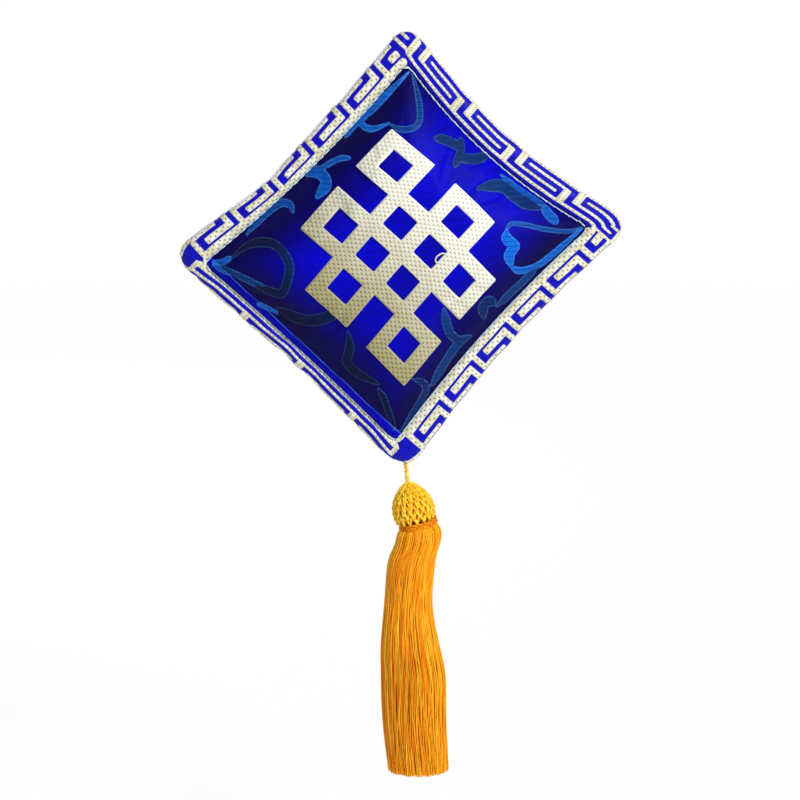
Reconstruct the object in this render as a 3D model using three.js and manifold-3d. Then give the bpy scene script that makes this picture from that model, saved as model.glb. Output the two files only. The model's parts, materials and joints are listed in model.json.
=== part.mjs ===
// Amulet pouch: a stuffed brocade square hung by one corner, with a netted tassel on the corner below.
// Millimetres, +Z up, face towards -Y. The origin is the tip of the top corner, where the pouch hangs.

import * as THREE from "three";
import { mergeVertices } from "three/addons/utils/BufferGeometryUtils.js";
import Module from "manifold-3d";

// Outline: how far each rounded corner lies from the crossing of the two diagonals
const topReach = 53.8;
const rightReach = 56.2;
const bottomReach = 59.5;
const leftReach = 59.2;
const crossRise = 3.8; // degrees that the cross diagonal climbs to the right
const cornerRounding = 9; // length of side that a corner's rounding takes
const seamRounding = 3;

// How far each side bows in at its middle
const upperRightBow = 3.6;
const lowerRightBow = 2;
const lowerLeftBow = 0.8;
const upperLeftBow = 2;

// Width of each border from the seam out to the edge, seen from the front
const upperRightBorder = 8;
const lowerRightBorder = 7.7;
const lowerLeftBorder = 4.2;
const upperLeftBorder = 7.7;

// Cloth, seams and stuffing
const clothThickness = 0.6;
const clothClearance = 0.45; // between a cloth and the stuffing below it, measured along Y
const seamDepth = 3; // from the middle plane to either seam
const crown = 10; // rise of a panel from its seam to its middle
const flatShare = 0.25; // share of a panel's half-width that lies flat
const swell = 3; // how late a panel falls away to its seam
const seamSlit = 1.2; // slit between panel and border, which the stitching closes
const mitreGap = 0.6; // between two borders at a corner
const seamThread = 0.5; // diameter
const waddingGap = 0.3; // between the two halves of the stuffing

// Endless knot on the face
const knotStep = 10.7; // from the middle of one strip to the next
const knotStrip = 5.1; // width of a strip
const knotRelief = 0.5;
const knotLift = 0.35; // air between the knot and the panel

// Folded paper between the two halves of the stuffing
const paperWidth = 36;
const paperHeight = 28;
const paperThickness = 3;
const paperClearance = 0.35;
const tieWidth = 4;
const tieThickness = 0.5;

// Cord from the bottom corner to the tassel
const cordDiameter = 1.3;
const cordClearance = 0.35;
const cordDrop = 3.8; // height between the cord's two bends
const cordLean = 2.2; // how far the tassel hangs to the right of the corner
const cornerKnotDiameter = 3.4;
const cornerKnotInset = 10; // above the bottom tip

// Tassel head
const headDiameter = 11.7;
const headUpper = 7; // from the top of the head down to its widest place
const headLower = 6; // lower half-axis of the head, which the neck cuts short
const neckDrop = 2.6; // from the widest place down to the net's lower edge
const capMouth = 13; // degrees off the axis where the net starts round the cord
const netThickness = 0.7;
const netColumns = 12;
const netRows = 6;
const netOpen = 0.56; // share of each mesh that is open
const beadClearance = 0.35;
const headKnotDiameter = 3;

// Thread wound round the neck
const bindingThread = 0.6; // diameter
const bindingPitch = 1.05;
const bindingTurns = 2;
const bindingClearance = 0.35;

// Skirt
const skirtLength = 67.3;
const skirtLocks = 12;
const lockGap = 0.35;
const skirtTwist = 14; // degrees from top to end
const skirtNeck = 4.8; // half-width where the thread binds it
const skirtShoulder = 6; // half-width below the binding
const skirtWaist = 6.2;
const skirtFlare = 8.2;
const skirtEnd = 7.9;
const skirtSway = [0.4, 0.6, -0.9, -1.7, -0.9, 0, 1.3]; // sideways, from top to end

const radians = THREE.MathUtils.degToRad;
const wasm = await Module();
wasm.setup();

const royalBlue = { color: 0x10109c, roughness: 0.5, metalness: 0 };
const borderBlue = { color: 0x1a1aa8, roughness: 0.55, metalness: 0 };
const cream = { color: 0xe4e2c4, roughness: 0.8, metalness: 0 };
const paleBlue = { color: 0x8fb4e0, roughness: 0.7, metalness: 0 };
const cotton = { color: 0xf2efe6, roughness: 0.95, metalness: 0 };
const paper = { color: 0xd9c9a0, roughness: 0.85, metalness: 0 };
const red = { color: 0xa8221c, roughness: 0.8, metalness: 0 };
const gold = { color: 0xf0a012, roughness: 0.5, metalness: 0 };
const netGold = { color: 0xf2b824, roughness: 0.6, metalness: 0 };
const wood = { color: 0xb98d58, roughness: 0.65, metalness: 0 };

function piece(name, geometry, finish) {
  const mesh = new THREE.Mesh(geometry, new THREE.MeshStandardMaterial(finish));
  mesh.name = name;
  return mesh;
}

// Closed surface from points and triangles, with its faces turned outwards
function closedSurface(points, triangles) {
  const across = new THREE.Vector3();
  let volume = 0;
  for (const [a, b, c] of triangles) volume += points[a].dot(across.crossVectors(points[b], points[c]));
  const turned = volume < 0 ? triangles.map(([a, b, c]) => [a, c, b]) : triangles;
  const geometry = new THREE.BufferGeometry().setFromPoints(points);
  geometry.setIndex(turned.flat());
  return geometry;
}

// Rings joined in order and closed at both ends; a ring of one point is a pole
function loft(rings) {
  const middle = (ring) => {
    const sum = ring.reduce((total, point) => total.add(point), new THREE.Vector3());
    return [sum.divideScalar(ring.length)];
  };
  const closed = [...rings];
  if (rings[0].length > 1) closed.unshift(middle(rings[0]));
  if (rings.at(-1).length > 1) closed.push(middle(rings.at(-1)));
  const starts = [];
  let count = 0;
  for (const ring of closed) {
    starts.push(count);
    count += ring.length;
  }
  const triangles = [];
  for (let i = 0; i + 1 < closed.length; i++) {
    const upper = closed[i].length;
    const lower = closed[i + 1].length;
    for (let j = 0; j < Math.max(upper, lower); j++) {
      const a = starts[i] + (j % upper);
      const b = starts[i] + ((j + 1) % upper);
      const c = starts[i + 1] + (j % lower);
      const d = starts[i + 1] + ((j + 1) % lower);
      if (upper > 1) triangles.push([a, d, b]);
      if (lower > 1) triangles.push([a, c, d]);
    }
  }
  return closedSurface(closed.flat(), triangles);
}

// Sheet with a thickness, from two grids of points
function sheet(outer, inner) {
  const rows = outer.length;
  const columns = outer[0].length;
  const spot = (side, i, j) => (side * rows + i) * columns + j;
  const triangles = [];
  const quad = (a, b, c, d) => triangles.push([a, b, c], [a, c, d]);
  for (let i = 0; i + 1 < rows; i++) {
    for (let j = 0; j + 1 < columns; j++) {
      quad(spot(0, i, j), spot(0, i + 1, j), spot(0, i + 1, j + 1), spot(0, i, j + 1));
      quad(spot(1, i, j), spot(1, i, j + 1), spot(1, i + 1, j + 1), spot(1, i + 1, j));
    }
  }
  for (let i = 0; i + 1 < rows; i++) {
    quad(spot(0, i + 1, 0), spot(0, i, 0), spot(1, i, 0), spot(1, i + 1, 0));
    const last = columns - 1;
    quad(spot(0, i, last), spot(0, i + 1, last), spot(1, i + 1, last), spot(1, i, last));
  }
  for (let j = 0; j + 1 < columns; j++) {
    quad(spot(0, 0, j), spot(0, 0, j + 1), spot(1, 0, j + 1), spot(1, 0, j));
    const last = rows - 1;
    quad(spot(0, last, j + 1), spot(0, last, j), spot(1, last, j), spot(1, last, j + 1));
  }
  return closedSurface([...outer.flat(), ...inner.flat()], triangles);
}

function tube(points, diameter, steps, sides) {
  const section = new THREE.Shape();
  for (let i = 0; i < sides; i++) {
    const angle = (2 * Math.PI * i) / sides;
    const x = (diameter / 2) * Math.cos(angle);
    const y = (diameter / 2) * Math.sin(angle);
    if (i === 0) section.moveTo(x, y);
    else section.lineTo(x, y);
  }
  section.closePath();
  const path = new THREE.CatmullRomCurve3(points);
  return new THREE.ExtrudeGeometry(section, { steps, extrudePath: path, bevelEnabled: false });
}

// Revolved about the vertical, from points of radius and height
function revolve(profile, segments) {
  const geometry = new THREE.LatheGeometry(profile, segments);
  return geometry.rotateX(Math.PI / 2);
}

function toSolid(geometry) {
  const bare = geometry.clone();
  bare.deleteAttribute("normal");
  bare.deleteAttribute("uv");
  const merged = mergeVertices(bare);
  const vertProperties = new Float32Array(merged.attributes.position.array);
  const triVerts = new Uint32Array(merged.index.array);
  return new wasm.Manifold(new wasm.Mesh({ numProp: 3, vertProperties, triVerts }));
}

function fromSolid(solid) {
  const mesh = solid.getMesh();
  const geometry = new THREE.BufferGeometry();
  geometry.setAttribute("position", new THREE.BufferAttribute(mesh.vertProperties, 3));
  geometry.setIndex(new THREE.BufferAttribute(mesh.triVerts, 1));
  return geometry;
}

// The sides run clockwise from the top corner: upper right, lower right, lower left, upper left.
const sideNames = ["upper_right", "lower_right", "lower_left", "upper_left"];
const sideBows = [upperRightBow, lowerRightBow, lowerLeftBow, upperLeftBow];
const sideBorders = [upperRightBorder, lowerRightBorder, lowerLeftBorder, upperLeftBorder];
const cornerReaches = [topReach, rightReach, bottomReach, leftReach];
const rise = radians(crossRise);
const cornerDirections = [
  new THREE.Vector2(0, 1),
  new THREE.Vector2(Math.cos(rise), Math.sin(rise)),
  new THREE.Vector2(0, -1),
  new THREE.Vector2(-Math.cos(rise), -Math.sin(rise)),
];
const tipCut = (cornerRounding * Math.SQRT1_2) / 2; // what the rounding takes off a sharp corner

const sharpCorners = cornerDirections.map((direction, k) =>
  direction.clone().multiplyScalar(cornerReaches[k] + tipCut),
);

// Closed outline seen from the front, each side set in from the edge.
// A place on it is a side and a share of that side.
function outline(insets, rounding, bowShare) {
  const lines = sharpCorners.map((corner, k) => {
    const along = sharpCorners[(k + 1) % 4].clone().sub(corner).normalize();
    const inward = new THREE.Vector2(along.y, -along.x);
    return { start: corner.clone().addScaledVector(inward, insets[k]), along, inward };
  });
  // A corner is where a side's line meets the line of the side before it
  const corners = lines.map(({ start, inward }, k) => {
    const before = lines[(k + 3) % 4];
    const run = start.clone().sub(before.start).dot(inward) / before.along.dot(inward);
    return before.start.clone().addScaledVector(before.along, run);
  });
  const sides = corners.map((start, k) => {
    const end = corners[(k + 1) % 4];
    const pull = start.clone().lerp(end, 0.5).addScaledVector(lines[k].inward, 2 * sideBows[k] * bowShare);
    return new THREE.QuadraticBezierCurve(start, pull, end);
  });
  const shares = sides.map((side) => rounding / side.getLength());
  const rounds = corners.map((corner, k) => {
    const before = (k + 3) % 4;
    const start = sides[before].getPoint(1 - shares[before]);
    return new THREE.QuadraticBezierCurve(start, corner, sides[k].getPoint(shares[k]));
  });
  return (k, t) => {
    const share = shares[k];
    if (t < share) return rounds[k].getPoint(0.5 + (0.5 * t) / share);
    if (t > 1 - share) return rounds[(k + 1) % 4].getPoint((0.5 * (t - 1 + share)) / share);
    return sides[k].getPoint(t);
  };
}

const inset = (extra) => sideBorders.map((width) => width + extra);
const edgeLine = outline(sideBorders.map(() => 0), cornerRounding, 1);
const seamLine = outline(sideBorders, seamRounding, 1);
const stitchLine = outline(inset(seamSlit / 2), seamRounding, 1);
const panelLine = outline(inset(seamSlit), seamRounding, 1);
const panelStraight = outline(inset(seamSlit), 0, 0);
const topTip = edgeLine(0, 0);
const bottomTip = edgeLine(2, 0);

// Stations along a side, closer together towards its corners
const stationsPerSide = 12;
const easedShare = (i) => (1 - Math.cos((Math.PI * i) / stationsPerSide)) / 2;
const stations = [];
for (let k = 0; k < 4; k++) {
  for (let i = 0; i < stationsPerSide; i++) stations.push({ k, t: easedShare(i) });
}

// Middle of a panel, and its half-width across each pair of sides
const panelCorners = [0, 1, 2, 3].map((k) => panelStraight(k, 0));
const panelMiddle = panelCorners.reduce((sum, corner) => sum.add(corner), new THREE.Vector2()).divideScalar(4);
const sideMiddles = [0, 1, 2, 3].map((k) => panelStraight(k, 0.5));
const halfAcross = sideMiddles[0].distanceTo(sideMiddles[2]) / 2;
const halfAlong = sideMiddles[1].distanceTo(sideMiddles[3]) / 2;

// Place on a panel from its share of the way out to the edge: near the middle the lines stay straight
function panelSpot(k, t, share) {
  const edge = panelStraight(k, t).lerp(panelLine(k, t), share ** 3);
  return panelMiddle.clone().lerp(edge, share);
}

function fullness(offset) {
  const past = Math.max(0, (Math.abs(offset) - flatShare) / (1 - flatShare));
  return 1 - past ** swell;
}

// Depth of a panel's outer face from the middle plane; the two fullnesses fall to nothing at the seams
function panelDepth(t, share) {
  return seamDepth + crown * fullness(share) * fullness(share * (2 * t - 1));
}

function panelPoint(k, t, share, facing, below) {
  const spot = panelSpot(k, t, share);
  return new THREE.Vector3(spot.x, facing * (panelDepth(t, share) - below), spot.y);
}

const panelShares = [flatShare, 0.45, 0.62, 0.76, 0.87, 0.95, 1];

// Rings of a panel's surface from its middle out to its edge
function panelRings(facing, below) {
  const pole = new THREE.Vector3(panelMiddle.x, facing * (seamDepth + crown - below), panelMiddle.y);
  const rings = panelShares.map((share) => stations.map(({ k, t }) => panelPoint(k, t, share, facing, below)));
  return [[pole], ...rings];
}

const front = -1;
const back = 1;

function panel(facing) {
  const outer = panelRings(facing, 0);
  const inner = panelRings(facing, clothThickness);
  return loft([...outer, ...inner.reverse()]);
}

// Section of the border, from the front seam round the edge to the back seam
const borderAngles = [90, 60, 30, 0, -30, -60, -90].map(radians);

function borderPoint(k, t, angle, below) {
  const seam = seamLine(k, t);
  const outward = edgeLine(k, t).sub(seam);
  const reach = outward.length() - below;
  seam.addScaledVector(outward.normalize(), reach * Math.cos(angle));
  return new THREE.Vector3(seam.x, front * (seamDepth - below) * Math.sin(angle), seam.y);
}

const cordRadius = cordDiameter / 2;
const upperBend = new THREE.Vector3(bottomTip.x, 0, bottomTip.y - cordRadius - cordClearance);
const lowerBend = upperBend.clone().add(new THREE.Vector3(cordLean, 0, -cordDrop));

// Round hole at the bottom corner, where the cord comes out
function cordHole() {
  const radius = cordRadius + cordClearance;
  const drill = new THREE.CylinderGeometry(radius, radius, 2 * cornerKnotInset, 12);
  drill.rotateX(Math.PI / 2);
  return drill.translate(bottomTip.x, 0, bottomTip.y);
}

function border(k) {
  const trim = mitreGap / 2 / edgeLine(k, 0).distanceTo(edgeLine(k, 1));
  const places = [];
  for (let i = 0; i <= stationsPerSide; i++) places.push(trim + (1 - 2 * trim) * easedShare(i));
  const grid = (below) => places.map((t) => borderAngles.map((angle) => borderPoint(k, t, angle, below)));
  const strip = sheet(grid(0), grid(clothThickness));
  const meetsCord = k === 1 || k === 2;
  if (!meetsCord) return strip;
  return fromSolid(toSolid(strip).subtract(toSolid(cordHole())));
}

// Sewing thread in the slit, all round the face but for its two ends at the bottom corner
function seamStitching(facing) {
  const depth = facing * (seamDepth - clothThickness / 2);
  const sides = 5;
  const fromBottom = [...stations.slice(2 * stationsPerSide + 1), ...stations.slice(0, 2 * stationsPerSide)];
  const rings = fromBottom.map(({ k, t }) => {
    const spot = stitchLine(k, t);
    const outward = edgeLine(k, t).sub(seamLine(k, t)).normalize();
    const ring = [];
    for (let i = 0; i < sides; i++) {
      const angle = (2 * Math.PI * i) / sides;
      const aside = spot.clone().addScaledVector(outward, (seamThread / 2) * Math.cos(angle));
      ring.push(new THREE.Vector3(aside.x, depth + (seamThread / 2) * Math.sin(angle), aside.y));
    }
    return ring;
  });
  return loft(rings);
}

const cornerKnotRadius = cornerKnotDiameter / 2;
const cornerKnotHeight = bottomTip.y + cornerKnotInset;

// One half of the stuffing, hollowed for the paper and for the knot in the bottom corner
function wadding(facing) {
  const below = clothThickness + clothClearance;
  const half = waddingGap / 2;
  const lastAngle = Math.asin(half / (seamDepth - below));
  const angles = [...borderAngles.slice(0, 3), lastAngle];
  const rim = angles.map((angle) =>
    stations.map(({ k, t }) => {
      const point = borderPoint(k, t, angle, below);
      return point.setY(facing * Math.abs(point.y));
    }),
  );
  const middle = new THREE.Vector3(panelMiddle.x, facing * half, panelMiddle.y);
  const body = toSolid(loft([...panelRings(facing, below), ...rim, [middle]]));
  const room = 2 * (paperClearance + tieThickness);
  const recess = new THREE.BoxGeometry(paperWidth + room, paperThickness + room, paperHeight + room);
  recess.translate(panelMiddle.x, 0, panelMiddle.y);
  const pocket = new THREE.SphereGeometry(cornerKnotRadius + cordClearance, 16, 10);
  pocket.translate(bottomTip.x, 0, cornerKnotHeight);
  return fromSolid(body.subtract(toSolid(recess)).subtract(toSolid(pocket)).subtract(toSolid(cordHole())));
}

// Meshes of the knot in steps along the two weaves: across is up to the right, along is down to the right
const knotMeshes = [
  [0.5, 0.5], [0.5, -0.5], [-0.5, 0.5], [-0.5, -0.5],
  [1.5, -1.5], [-1.5, 1.5],
  [-0.5, -1.5], [-1.5, -0.5],
  [1.5, 0.5], [0.5, 1.5],
];

// Point over the panel, from distances along the two weaves
function knotPoint(across, along, lift) {
  const u = across / halfAcross;
  const v = along / halfAlong;
  const share = Math.max(Math.abs(u), Math.abs(v), 1e-6);
  const turns = Math.abs(u) >= Math.abs(v) ? (u > 0 ? 0 : 2) : v > 0 ? 1 : 3;
  const offset = [v, -u, -v, u][turns] / share;
  return panelPoint(turns, (offset + 1) / 2, share, front, -lift);
}

// A strip runs along every side of every mesh. The plan is cut into cells at the edges of the strips.
function knotMotif() {
  const cuts = [];
  for (let line = -2; line <= 2; line++) {
    cuts.push(line * knotStep - knotStrip / 2, line * knotStep + knotStrip / 2);
  }
  const filled = new Set();
  for (const [across, along] of knotMeshes) {
    const row = 2 * (across + 2);
    const column = 2 * (along + 2);
    for (let i = -1; i <= 1; i++) {
      for (let j = -1; j <= 1; j++) {
        if (i !== 0 || j !== 0) filled.add(`${row + i},${column + j}`);
      }
    }
  }
  const points = [];
  const known = new Map();
  const spot = (i, j, side) => {
    const key = `${i},${j},${side}`;
    if (!known.has(key)) {
      known.set(key, points.length);
      points.push(knotPoint(cuts[i], cuts[j], knotLift + side * knotRelief));
    }
    return known.get(key);
  };
  const triangles = [];
  const quad = (a, b, c, d) => triangles.push([a, b, c], [a, c, d]);
  for (const cell of filled) {
    const [i, j] = cell.split(",").map(Number);
    const ring = [[i, j], [i + 1, j], [i + 1, j + 1], [i, j + 1]];
    const beside = [[i, j - 1], [i + 1, j], [i, j + 1], [i - 1, j]];
    quad(...ring.map(([r, c]) => spot(r, c, 1)));
    quad(...ring.map(([r, c]) => spot(r, c, 0)).reverse());
    beside.forEach((next, n) => {
      if (filled.has(next.join(","))) return;
      const start = ring[n];
      const end = ring[(n + 1) % 4];
      quad(spot(...end, 1), spot(...start, 1), spot(...start, 0), spot(...end, 0));
    });
  }
  return closedSurface(points, triangles);
}

// Flat thread once round the paper, over its two long edges
function amuletTie() {
  const rectangle = (halfThick, halfHigh) => [
    new THREE.Vector2(-halfThick, -halfHigh),
    new THREE.Vector2(halfThick, -halfHigh),
    new THREE.Vector2(halfThick, halfHigh),
    new THREE.Vector2(-halfThick, halfHigh),
  ];
  const halfThick = paperThickness / 2 + paperClearance;
  const halfHigh = paperHeight / 2 + paperClearance;
  const loop = new THREE.Shape(rectangle(halfThick + tieThickness, halfHigh + tieThickness));
  loop.holes.push(new THREE.Path(rectangle(halfThick, halfHigh)));
  const band = new THREE.ExtrudeGeometry(loop, { depth: tieWidth, bevelEnabled: false });
  band.translate(0, 0, -tieWidth / 2);
  return band.rotateX(Math.PI / 2).rotateZ(Math.PI / 2);
}

// Round knot with a straight stretch of cord on one side of it, revolved about the cord
function knottedCord(knotRadius, knotHeight, cordEnd) {
  const steps = 8;
  const down = Math.sign(cordEnd - knotHeight);
  const start = Math.asin(cordRadius / knotRadius);
  const profile = [new THREE.Vector2(0, cordEnd), new THREE.Vector2(cordRadius, cordEnd)];
  for (let i = 0; i <= steps; i++) {
    const angle = start + ((Math.PI - start) * i) / steps;
    const radius = i === steps ? 0 : knotRadius * Math.sin(angle);
    profile.push(new THREE.Vector2(radius, knotHeight + down * knotRadius * Math.cos(angle)));
  }
  return revolve(down < 0 ? profile : profile.reverse(), 12);
}

// The cord between its two bends, round at both ends
function neckCord() {
  const run = lowerBend.clone().sub(upperBend);
  const cord = new THREE.CapsuleGeometry(cordRadius, run.length(), 4, 12);
  const turn = new THREE.Quaternion().setFromUnitVectors(new THREE.Vector3(0, -1, 0), run.clone().normalize());
  cord.applyQuaternion(turn);
  const middle = upperBend.clone().lerp(lowerBend, 0.5);
  return cord.translate(middle.x, middle.y, middle.z);
}

// The head's outer form at an angle from its top, in the tassel's own frame with the top of the head at zero
function headPoint(angle, below) {
  const height = (Math.cos(angle) > 0 ? headUpper : headLower) - below;
  const radius = headDiameter / 2 - below;
  return new THREE.Vector2(radius * Math.sin(angle), -headUpper + height * Math.cos(angle));
}

const neckAngle = Math.acos(-neckDrop / headLower);
const headHeight = headUpper + neckDrop;

// Diamond-meshed net: every mesh is a diamond between three rows of knots, with a diamond opening in it
function netCap() {
  const points = [];
  const triangles = [];
  const quad = (a, b, c, d) => triangles.push([a, b, c], [a, c, d]);
  const rowStart = radians(capMouth);
  const rows = [];
  for (let i = 0; i <= netRows; i++) {
    const angle = rowStart + ((neckAngle - rowStart) * i) / netRows;
    const row = [];
    for (let j = 0; j < netColumns; j++) {
      const turn = (2 * Math.PI * (j + (i % 2) / 2)) / netColumns;
      row.push([0, netThickness].map((below) => {
        const { x: radius, y: height } = headPoint(angle, below);
        points.push(new THREE.Vector3(radius * Math.cos(turn), radius * Math.sin(turn), height));
        return points.length - 1;
      }));
    }
    rows.push(row);
  }
  // Knot of a row that lies half a step after knot j of a row beside it
  const after = (i, j) => rows[i][(j + (i % 2 === 0 ? 1 : 0)) % netColumns];
  for (let i = 1; i < netRows; i++) {
    for (let j = 0; j < netColumns; j++) {
      const left = rows[i][j];
      const right = rows[i][(j + 1) % netColumns];
      const knots = [left, after(i - 1, j), right, after(i + 1, j)];
      const opening = [0, 1].map((side) => {
        const middle = new THREE.Vector3();
        knots.forEach((knot) => middle.addScaledVector(points[knot[side]], 1 / knots.length));
        return knots.map((knot) => points.push(points[knot[side]].clone().lerp(middle, 1 - netOpen)) - 1);
      });
      for (let n = 0; n < 4; n++) {
        const next = (n + 1) % 4;
        quad(knots[n][0], opening[0][n], opening[0][next], knots[next][0]);
        quad(knots[n][1], knots[next][1], opening[1][next], opening[1][n]);
        quad(opening[0][n], opening[1][n], opening[1][next], opening[0][next]);
      }
    }
  }
  for (const [edge, inner] of [[0, 1], [netRows, netRows - 1]]) {
    for (let j = 0; j < netColumns; j++) {
      const left = rows[edge][j];
      const right = rows[edge][(j + 1) % netColumns];
      const point = after(inner, j);
      const turned = edge === 0 ? [left, point, right] : [left, right, point];
      triangles.push(turned.map((knot) => knot[0]), turned.map((knot) => knot[1]).reverse());
      const [first, second] = edge === 0 ? [left, right] : [right, left];
      quad(first[0], second[0], second[1], first[1]);
    }
  }
  return closedSurface(points, triangles);
}

// Wooden bead that fills the net, bored for the cord
function headBead() {
  const below = netThickness + beadClearance;
  const bore = cordRadius + cordClearance;
  const steps = 10;
  const start = Math.asin(bore / (headDiameter / 2 - below));
  const profile = [];
  for (let i = 0; i <= steps; i++) profile.push(headPoint(start + ((neckAngle - start) * i) / steps, below));
  profile.push(new THREE.Vector2(bore, profile.at(-1).y));
  profile.push(profile[0].clone());
  return revolve(profile.reverse(), 20);
}

// Half-width and sideways place of the skirt, at a share of its length from the binding to its end
const skirtWidths = [skirtNeck, skirtShoulder, skirtWaist, skirtFlare, skirtFlare, skirtEnd];
const skirtWidthCurve = new THREE.SplineCurve(skirtWidths.map((width, i) => new THREE.Vector2(i, width)));
const skirtSwayCurve = new THREE.SplineCurve(skirtSway.map((aside, i) => new THREE.Vector2(i, aside)));
const lockSpread = Math.sin(Math.PI / skirtLocks);
const skirtTop = -headHeight - beadClearance;

function skirtSection(share) {
  const halfWidth = skirtWidthCurve.getPoint(share).y;
  const ringRadius = (halfWidth + lockGap / 2) / (1 + lockSpread);
  return {
    aside: skirtSwayCurve.getPoint(share).y,
    height: skirtTop - share * skirtLength,
    ringRadius,
    lockRadius: halfWidth - ringRadius,
    turn: radians(skirtTwist) * share,
  };
}

function circle(x, y, z, radius, sides, start) {
  const ring = [];
  for (let i = 0; i < sides; i++) {
    const angle = start + (2 * Math.PI * i) / sides;
    ring.push(new THREE.Vector3(x + radius * Math.cos(angle), y + radius * Math.sin(angle), z));
  }
  return ring;
}

const skirtSteps = 14;

function skirtLock(n) {
  const place = (2 * Math.PI * n) / skirtLocks;
  const rings = [];
  for (let i = 0; i <= skirtSteps; i++) {
    const { aside, height, ringRadius, lockRadius, turn } = skirtSection(i / skirtSteps);
    const x = aside + ringRadius * Math.cos(place + turn);
    const y = ringRadius * Math.sin(place + turn);
    rings.push(circle(x, y, height, lockRadius, 7, place + turn));
  }
  return loft(rings);
}

const headKnotRadius = headKnotDiameter / 2;
const headKnotHeight = skirtTop - headKnotRadius;

function skirtCore() {
  const rings = [];
  const start = (skirtTop - headKnotHeight + headKnotRadius + cordClearance) / skirtLength;
  for (let i = 0; i <= skirtSteps; i++) {
    const share = start + ((1 - start) * i) / skirtSteps;
    const { aside, height, ringRadius, lockRadius, turn } = skirtSection(share);
    rings.push(circle(aside, 0, height, ringRadius - lockRadius - lockGap, 14, turn));
  }
  return loft(rings);
}

// Thread wound in one run round the top of the skirt; prints how close its turns come to each other
function neckBinding() {
  const radius = skirtNeck + bindingClearance + bindingThread / 2;
  const top = skirtTop - bindingThread / 2;
  const perTurn = 24;
  const points = [];
  for (let i = 0; i <= bindingTurns * perTurn; i++) {
    const angle = (2 * Math.PI * i) / perTurn;
    const height = top - (bindingPitch * i) / perTurn;
    const aside = skirtSection((skirtTop - height) / skirtLength).aside;
    points.push(new THREE.Vector3(aside + radius * Math.cos(angle), radius * Math.sin(angle), height));
  }
  let least = Infinity;
  for (let i = 0; i < points.length; i++) {
    for (let j = i + perTurn / 2; j < points.length; j++) {
      least = Math.min(least, points[i].distanceTo(points[j]));
    }
  }
  console.log(`neck binding: least gap between turns ${(least - bindingThread).toFixed(2)} mm`);
  return tube(points, bindingThread, bindingTurns * perTurn, 6);
}

const hung = new THREE.Group();
hung.position.set(-topTip.x, 0, -topTip.y);

hung.add(piece("front_panel", panel(front), royalBlue));
hung.add(piece("back_panel", panel(back), royalBlue));
hung.add(piece("knot_motif", knotMotif(), cream));
sideNames.forEach((name, k) => hung.add(piece(`border_${name}`, border(k), borderBlue)));
hung.add(piece("front_seam_thread", seamStitching(front), paleBlue));
hung.add(piece("back_seam_thread", seamStitching(back), paleBlue));
hung.add(piece("wadding_front", wadding(front), cotton));
hung.add(piece("wadding_back", wadding(back), cotton));

const amulet = new THREE.Group();
amulet.position.set(panelMiddle.x, 0, panelMiddle.y);
const foldedPaper = new THREE.BoxGeometry(paperWidth, paperThickness, paperHeight);
amulet.add(piece("amulet_paper", foldedPaper, paper));
amulet.add(piece("amulet_tie", amuletTie(), red));
hung.add(amulet);

const anchor = new THREE.Group();
anchor.position.set(bottomTip.x, 0, 0);
anchor.add(piece("corner_knot", knottedCord(cornerKnotRadius, cornerKnotHeight, bottomTip.y), netGold));
hung.add(anchor);
hung.add(piece("neck_cord", neckCord(), netGold));

// The tassel's own frame has the top of its head at zero, just under the cord's lower bend
const tassel = new THREE.Group();
tassel.position.copy(lowerBend);
tassel.position.z -= cordRadius + cordClearance;
tassel.add(piece("head_cord", knottedCord(headKnotRadius, headKnotHeight, 0), netGold));
tassel.add(piece("head_bead", headBead(), wood));
tassel.add(piece("net_cap", netCap(), netGold));
tassel.add(piece("neck_binding", neckBinding(), gold));
tassel.add(piece("skirt_core", skirtCore(), gold));
for (let n = 0; n < skirtLocks; n++) {
  const number = String(n + 1).padStart(2, "0");
  tassel.add(piece(`skirt_lock_${number}`, skirtLock(n), gold));
}
hung.add(tassel);

const group = new THREE.Group();
group.add(hung);

export default group;
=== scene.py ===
# Amulet pouch: a stuffed brocade square with a woven knot, key-fret borders and a netted tassel
import json
import math
import random

import bpy
import numpy as np
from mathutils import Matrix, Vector


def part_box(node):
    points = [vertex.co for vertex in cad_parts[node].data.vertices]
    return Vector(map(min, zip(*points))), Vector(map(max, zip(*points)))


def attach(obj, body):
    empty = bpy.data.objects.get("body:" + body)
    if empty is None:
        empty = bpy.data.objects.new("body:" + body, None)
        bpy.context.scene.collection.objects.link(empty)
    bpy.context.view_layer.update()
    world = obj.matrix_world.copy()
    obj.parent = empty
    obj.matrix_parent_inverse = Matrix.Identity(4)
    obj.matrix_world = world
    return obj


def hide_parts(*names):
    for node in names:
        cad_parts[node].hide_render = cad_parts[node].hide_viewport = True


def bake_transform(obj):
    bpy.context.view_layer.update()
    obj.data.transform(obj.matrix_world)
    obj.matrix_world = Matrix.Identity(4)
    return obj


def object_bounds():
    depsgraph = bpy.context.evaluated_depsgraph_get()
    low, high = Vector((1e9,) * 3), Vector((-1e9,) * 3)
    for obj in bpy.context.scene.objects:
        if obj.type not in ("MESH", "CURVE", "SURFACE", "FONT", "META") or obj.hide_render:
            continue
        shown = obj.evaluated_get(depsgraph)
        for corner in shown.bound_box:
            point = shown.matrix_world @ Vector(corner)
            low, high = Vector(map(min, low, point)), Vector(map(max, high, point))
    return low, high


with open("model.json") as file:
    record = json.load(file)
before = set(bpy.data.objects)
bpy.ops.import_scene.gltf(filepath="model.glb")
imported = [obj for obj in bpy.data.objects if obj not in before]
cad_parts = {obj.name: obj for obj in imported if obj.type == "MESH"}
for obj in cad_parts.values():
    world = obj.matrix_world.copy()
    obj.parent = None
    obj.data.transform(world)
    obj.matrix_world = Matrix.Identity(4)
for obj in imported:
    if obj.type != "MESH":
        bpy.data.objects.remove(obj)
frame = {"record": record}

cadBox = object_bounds()
scene = bpy.context.scene
scene.view_settings.view_transform = "Standard"
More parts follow.
